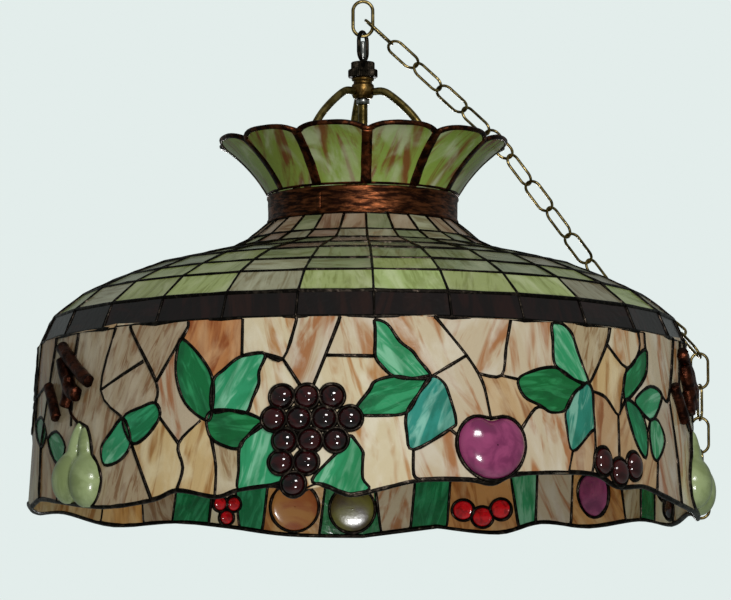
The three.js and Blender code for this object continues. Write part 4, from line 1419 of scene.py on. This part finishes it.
turned_piece("hub_cast", [
    (BORE, 260), (8.5, 260), (9.6, 260.6), (10.5, 262), (11.2, 264), (11.5, 266), (11.5, 273.6),
    (11, 274.6), (9.6, 275.8), (9.5, 277), (9.6, 278.2), (11, 278.8), (11.5, 279.6), (11.5, 281.4),
    (11.1, HUB_TOP), (BORE, HUB_TOP),
], HUB_BRASS, ["hub"])
turned_piece("check_ring_turned", [
    (BORE, 254.2), (6.4, 254.2), (6.8, 254.6), (6.8, 259.3), (6.4, 259.7), (BORE, 259.7),
], STEEL, ["check_ring"], 64)
turned_piece("spider_ring_brass", [
    (81.1, 132.5), (81.6, 132), (94.6, 132), (95.1, 132.5),
    (95.1, 136.5), (94.6, 137), (81.6, 137), (81.1, 136.5),
], BRASS, ["spider_ring"], 120)


def threaded_pipe():
    """A pipe with a thread down to the cluster, drawn as close rings."""
    section = [(PIPE - 1.2, PIPE_FOOT)]
    height = PIPE_FOOT
    while height < NUT_TOP - 1:
        section += [(PIPE, height), (PIPE, height + 0.5), (PIPE - 0.5, height + 1.0)]
        height += THREAD
    section += [(PIPE, NUT_TOP), (PIPE - 1.2, NUT_TOP)]
    return turned_piece("stem_threaded_pipe", section, BRASS, ["stem_pipe"], 40)


threaded_pipe()


def knurled_nut():
    low = HUB_TOP + 0.3
    middle = low + NUT_TIER
    section = [  # radius, height and whether the knurling cuts in there
        (BORE, low, 0), (14.6, low, 0), (15.2, low + 0.7, 1), (15.2, middle - 0.7, 1),
        (14.6, middle, 0), (11.8, middle, 0), (12.2, middle + 0.5, 1),
        (12.2, NUT_TOP - 0.7, 1), (11.6, NUT_TOP, 0), (BORE, NUT_TOP, 0),
    ]
    teeth = 44
    rows = []
    for i in range(2 * teeth):
        cut = 0.7 if i % 2 else 0
        rows.append([at(i * 180 / teeth, radius - cut * cuts, height) for radius, height, cuts in section])
    shape = Shape()
    shape.grid(rows, close_rows=True, close_columns=True)
    return piece("knurled_nut_iron", shape.points, shape.faces, [IRON], ["knurled_nut"],
                 smooth=False)


knurled_nut()

# %% [markdown]
# The three arms are brass rod bent cold over a former, so one rounded line, turned three ways, draws
# them. The loop on the nut and the hook link over it are bent wire: two half circles joined by straight
# sides. The loop's sleeve is a short piece of plated tube.

# %% Arms, loop, sleeve and hook link
ARM_LINE = [(11.8, 267), (27.5, 264), (57.5, 235.9), (78.9, 195.7), (88.1, 156.8), (88.1, 137.3)]


def arms():
    for number, bearing in enumerate((-50, 70, 190), 1):
        shape = Shape()
        line = [at(bearing, radius, height) for radius, height in smooth_line(ARM_LINE, 8)]
        side = Vector((0, 0, 1)).cross(outward(bearing))
        shape.bar(line, [side] * len(line), 4, 4, 14)
        piece(f"arm_brass_{number}", shape.points, shape.faces, [BRASS], [f"arm_{number}"])


arms()


def link_line(wire, height, width, steps=40):
    """The middle of an oval link's wire in its own upright plane, in millimetres."""
    bend = width / 2 - wire
    straight = height / 2 - wire - bend
    made = []
    for i in range(steps):
        turn = math.tau * (i + 0.5) / steps
        rise = math.copysign(straight, math.sin(turn))
        made.append(Vector((bend * math.cos(turn), 0, bend * math.sin(turn) + rise)))
    return made


def add_link(shape, wire, height, width, place):
    line = [place @ (point / 1000) for point in link_line(wire, height, width)]
    flat_way = (place.to_3x3() @ Vector((0, 1, 0))).normalized()
    shape.bar(line, [flat_way] * len(line), wire, wire, 10, True)


LOOP_FOOT = NUT_TOP + 0.3 - (12 - math.sqrt(12 ** 2 - 3.8 ** 2))
LOOP_MIDDLE = LOOP_FOOT + 17
SWING_HEIGHT = LOOP_MIDDLE + 17 - 4.2 - 0.3 - 1.8
HOOK_MIDDLE = SWING_HEIGHT - 1.8 + 20


def hangers():
    loop = Shape()
    upright = Matrix.Translation(at(0, 0, LOOP_MIDDLE)) @ Matrix.Rotation(math.radians(65), 4, "Z")
    add_link(loop, 2.1, 34, 24, upright)
    piece("hanging_loop_iron", loop.points, loop.faces, [IRON], ["hanging_loop"])
    hook = Shape()
    add_link(hook, 1.8, 40, 24, Matrix.Translation(at(0, 0, HOOK_MIDDLE)))
    piece("hook_link_brass", hook.points, hook.faces, [CHAIN_BRASS], ["hook_link"], body="hook")
    foot = LOOP_FOOT + 4.2 + 7.8 - math.sqrt(7.8 ** 2 - 3.3 ** 2) + 0.3
    turned_piece("loop_sleeve_steel", [
        (1.4, foot), (2.7, foot), (3, foot + 0.4), (3, foot + 16.6), (2.7, foot + 17), (1.4, foot + 17),
    ], STEEL, ["loop_sleeve"], 40)


hangers()

# %% [markdown]
# The chain starts in the hook link, passes over the crown's edge and down the shoulder, and hangs free
# past the rim. Its links are oval, and each stands square to the next. An array on a curve would bend
# the links, so each one is placed whole between two points that lie a link's pitch apart.

# %% The chain
LINK_WIRE, LINK_LENGTH, LINK_WIDTH, LINK_BITE = 1.5, 39, 21, 0.8
PITCH = LINK_LENGTH - 4 * LINK_WIRE + LINK_BITE
TAIL_LINKS = 4
FIRST_TURN = 130  # the first link lies flatter, so that the hook link can swing in it
LINK_TURN = -8
CHAIN_WAY = [  # bearing, distance from the axis and height, from the hook link to past the skirt
    (97, 3.9, SWING_HEIGHT + 16), (111, 150, 225.1), (111, 283.4, 66.1), (104, 330.35, 36.3),
    (97, 350, 0),
]


def walk(way, count):
    """Points at even distances along a bent line."""
    lengths = [(b - a).length for a, b in zip(way, way[1:])]
    made = []
    for i in range(count + 1):
        left = sum(lengths) * i / count
        for start, end, length in zip(way, way[1:], lengths):
            if left <= length or end is way[-1]:
                made.append(start.lerp(end, min(left / length, 1)))
                break
            left -= length
    return made


def chain_link(shape, start, end, number):
    turn = LINK_TURN - 90 * (number % 2) if number else FIRST_TURN
    along = (end - start).normalized()
    height = (end - start).length * 1000 + 4 * LINK_WIRE - LINK_BITE
    swing = Vector((0, 0, 1)).rotation_difference(along).to_matrix().to_4x4()
    place = Matrix.Translation((start + end) / 2) @ swing @ Matrix.Rotation(math.radians(turn), 4, "Z")
    add_link(shape, LINK_WIRE, height, LINK_WIDTH, place)


def chain():
    way = [at(*place) for place in CHAIN_WAY]
    count = round(sum((b - a).length for a, b in zip(way, way[1:])) * 1000 / PITCH)
    joints = walk(way, count)
    joints.append(joints[-1] - Vector((0, 0, PITCH / 1000)))
    swag = Shape()
    for number, (start, end) in enumerate(zip(joints, joints[1:])):
        chain_link(swag, start, end, number)
    piece("chain_swag_brass", swag.points, swag.faces, [CHAIN_BRASS], ["chain_swag"])
    tail = Shape()
    top = joints[-1] + Vector((0, 0, (LINK_BITE + 0.3) / 1000))
    for number in range(TAIL_LINKS):
        start = top - Vector((0, 0, number * PITCH / 1000))
        end = start - Vector((0, 0, PITCH / 1000))
        chain_link(tail, start, end, len(joints) - 1 + number)
    piece("chain_tail_brass", tail.points, tail.faces, [CHAIN_BRASS], ["chain_tail"], body="tail")


chain()

# %% [markdown]
# ## The light
# Three lamp holders droop from a small brass body on the pipe's foot. The holders are porcelain, fired
# with a clear glaze: an IOR of 1.5, a wet gloss and fine orange peel. The bulbs are blown glass, flashed
# with opal on the inside, so their face is satin and even.

# %% Finishes for the holders and bulbs
GLAZE_IOR = 1.5
PEEL_PER_METRE = 700


def glazed(name, ground, shade, rough, ior=GLAZE_IOR):
    made, tree, shader = new_finish(name)
    where = node(tree, "ShaderNodeTexCoord").outputs["Object"]
    drift = node(tree, "ShaderNodeTexNoise", {"Vector": where, "Scale": 60.0, "Detail": 4.0}).outputs["Fac"]
    body = node(tree, "ShaderNodeMix", {
        0: drift, 6: srgb(ground), 7: srgb(shade)}, data_type="RGBA").outputs[2]
    peel = node(tree, "ShaderNodeTexNoise", {"Vector": where, "Scale": PEEL_PER_METRE}).outputs["Fac"]
    bump = node(tree, "ShaderNodeBump", {
        "Height": peel, "Strength": 0.1, "Distance": 0.0003}).outputs["Normal"]
    tree.links.new(body, shader.inputs["Base Color"])
    tree.links.new(bump, shader.inputs["Normal"])
    shader.inputs["Roughness"].default_value = rough
    shader.inputs["IOR"].default_value = ior
    return made


PORCELAIN = glazed("porcelain_glazed", "#E9E3D5", "#D8D0BE", 0.18)
OPAL = glazed("bulb_opal_glass", "#F6F2E8", "#EAE5D8", 0.3, ior=SODA_LIME_IOR)
print("porcelain and opal glass ready")

# %% [markdown]
# The cluster's body, the holders and the bulbs are turned or blown round an axis, so each is a section
# swept round. A holder's axis droops 25 degrees, and one matrix says where it is, for the holder, its
# bulb and its key alike. Each key is a stem with a flat paddle, and rides on a body of its own to turn.

# %% Cluster, holders, bulbs and keys
CLUSTER = 74  # height of the holders' feet
CLUSTER_RADIUS = 23
DROOP = 25
FOOT_OUT = (CLUSTER_RADIUS + 5 * math.tan(math.radians(DROOP))
            + 0.3 / math.cos(math.radians(DROOP)))
BULB_MIDDLE = 102.3
BULB_RADIUS = 30


def branch(number):
    turn = Matrix.Rotation(math.radians(120 * number + 30), 4, "Z")
    out = Matrix.Translation((0, -FOOT_OUT / 1000, CLUSTER / 1000))
    droop = Matrix.Rotation(math.radians(90 + DROOP), 4, "X")
    return Matrix.Translation((0, 0, SKIRT_TOP)) @ turn @ out @ droop


def lathe(section, place, segments=64):
    rows = []
    for i in range(segments):
        turn = math.tau * i / segments
        rows.append([place @ Vector((r * math.cos(turn) / 1000, r * math.sin(turn) / 1000, h / 1000))
                     for r, h in section])
    return rows


def lathe_piece(name, section, place, finish, solids, body="shade", segments=64):
    shape = Shape()
    shape.grid(lathe(section, place, segments), close_rows=True)
    return piece(name, shape.points, shape.faces, [finish], solids, body)


turned_piece("cluster_brass", [
    (0.02, 55), (3, 55.6), (4, 56.4), (5.6, 60), (8, 63), (14.6, 63.1), (15.6, 63.4), (22.6, 68.4),
    (23, 69.2), (23, 78.8), (22.6, 79.6), (15.6, 84.6), (14.6, 84.9), (0.02, 85),
], BRASS, ["cluster_body"], 80)
angles = [math.radians(angle) for angle in range(-34, 90, 6)]
bulb_round = [(BULB_RADIUS * math.cos(a), BULB_MIDDLE + BULB_RADIUS * math.sin(a)) for a in angles]
for number in range(3):
    place = branch(number)
    lathe_piece(f"socket_porcelain_{number + 1}", [
        (0.02, 0), (8, 0), (9, 0.8), (13, 5), (16.4, 9.2), (17, 11), (17, 20), (16.6, 20.8),
        (17, 21.6), (17, 47.2), (16.4, 48), (15.6, 48), (15, 47.4), (15, 28), (0.02, 28),
    ], place, PORCELAIN, [f"socket_{number + 1}"])
    lathe_piece(f"bulb_opal_{number + 1}", [
        (0.02, 28.3), (12.8, 28.4), (13.7, 29), (13.7, 54), (14.2, 62), (17, 72), (21, 80),
        *bulb_round, (0.02, BULB_MIDDLE + BULB_RADIUS),
    ], place, OPAL, [f"bulb_{number + 1}"])


def turn_key(number):
    key = branch(number) @ Matrix.Translation((0, 0.0173, 0.018)) @ Matrix.Rotation(-math.pi / 2, 4, "X")
    shape = Shape()
    shape.grid(lathe([(0.02, 0), (1.8, 0), (2, 0.3), (2, 12), (0.02, 12)], key, 20), close_rows=True)
    paddle = key @ Matrix.Translation((0, 0, 0.016)) @ Matrix.Rotation(math.pi / 2, 4, "X")
    rows = []
    for i in range(32):
        turn = math.tau * i / 32
        rows.append([paddle @ Vector((1.3 * r * math.cos(turn) / 1000, r * math.sin(turn) / 1000, h / 1000))
                     for r, h in ((0.02, -1.2), (6.6, -1.2), (7, -0.8), (7, 0.8), (6.6, 1.2), (0.02, 1.2))])
    shape.grid(rows, close_rows=True)
    piece(f"turn_key_iron_{number + 1}", shape.points, shape.faces, [IRON],
          [f"turn_key_{number + 1}"], body=f"key_{number + 1}")


for number in range(3):
    turn_key(number)

# %% [markdown]
# ## Studio
# The lamp hangs over a plain pale floor in a dim pale room. A world shader can show one strength to the
# camera and another to everything else: the room is shown paler than it lights, so the lamp hangs before
# a bright plain ground, and its own shading stays deep.

# %% Floor and room
FLOOR = -3.2
FLOOR_REACH = 20
ROOM_LIGHT = 0.24  # what the room gives, beside what it shows


def matt(name, colour, rough):
    made, _, shader = new_finish(name)
    shader.inputs["Base Color"].default_value = srgb(colour)
    shader.inputs["Roughness"].default_value = rough
    return made


floor_corners = [(x * FLOOR_REACH, y * FLOOR_REACH, FLOOR)
                 for x, y in ((-1, -1), (1, -1), (1, 1), (-1, 1))]
floor_mesh = bpy.data.meshes.new("floor")
floor_mesh.from_pydata(floor_corners, [], [(0, 1, 2, 3)])
floor_mesh.materials.append(matt("floor_pale", "#E6EBE8", 0.8))
floor = bpy.data.objects.new("floor", floor_mesh)
bpy.context.scene.collection.objects.link(floor)
floor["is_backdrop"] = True

world = bpy.data.worlds.new("pale_room")
world.use_nodes = True
seen = node(world.node_tree, "ShaderNodeLightPath").outputs["Is Camera Ray"]
strength = node(world.node_tree, "ShaderNodeMapRange", {
    "Value": seen, "To Min": ROOM_LIGHT, "To Max": 1.0})
background = world.node_tree.nodes["Background"]
background.inputs["Color"].default_value = srgb("#E3EDEB")
world.node_tree.links.new(strength.outputs["Result"], background.inputs["Strength"])
bpy.context.scene.world = world
print("the floor is", -FLOOR, "m under the hook link")

# %% [markdown]
# One soft box stands high over the viewer and one low in front, which also reaches in under the rim.
# Both are near the viewer's side, so the middle of the shade is bright and its sides fall off, and
# neither is mirrored by the upright glass. A weak box straight behind shows the back to whoever walks
# round.

# %% Soft boxes
def soft_light(name, place, aim, size, power):
    light = bpy.data.lights.new(name, "AREA")
    light.shape = "RECTANGLE"
    light.size, light.size_y = size
    light.energy = power
    made = bpy.data.objects.new(name, light)
    made.location = place
    made.rotation_euler = (Vector(aim) - Vector(place)).to_track_quat("-Z", "Y").to_euler()
    bpy.context.scene.collection.objects.link(made)
    print(f"{name}: {power} W over {size[0]} by {size[1]} m")


middle = Vector((0, 0, SKIRT_TOP))
soft_light("high_box", (0.5, -3.0, 1.3), middle, (0.9, 0.6), 50)
soft_light("low_box", (0.35, -3.5, -1.5), middle, (0.5, 0.35), 44)
soft_light("back_box", (0, 3.4, -0.35), middle, (1.2, 0.5), 30)

# %% [markdown]
# The camera stands well back and looks up a little, as one does at a hanging lamp, so a long lens is
# used. The plain colour transform keeps the glass's colours as they were mixed.

# %% Camera
bpy.context.scene.view_settings.view_transform = "Standard"
camera = bpy.data.cameras.new("camera")
camera.lens = 188.3
camera.sensor_width = 36
viewer = bpy.data.objects.new("camera", camera)
viewer.location = (0, -3.8865, -0.7455)
viewer.rotation_euler = (math.radians(90 + 6.42), 0, math.radians(-0.04))
bpy.context.scene.collection.objects.link(viewer)
bpy.context.scene.camera = viewer
print("lens", camera.lens, "mm, from", round(viewer.location.length, 2), "m away")

# %% [markdown]
# The box round the dressed lamp is printed.

# %% The dressed lamp's box
low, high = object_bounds()
print("dressed model from", tuple(low), "to", tuple(high))
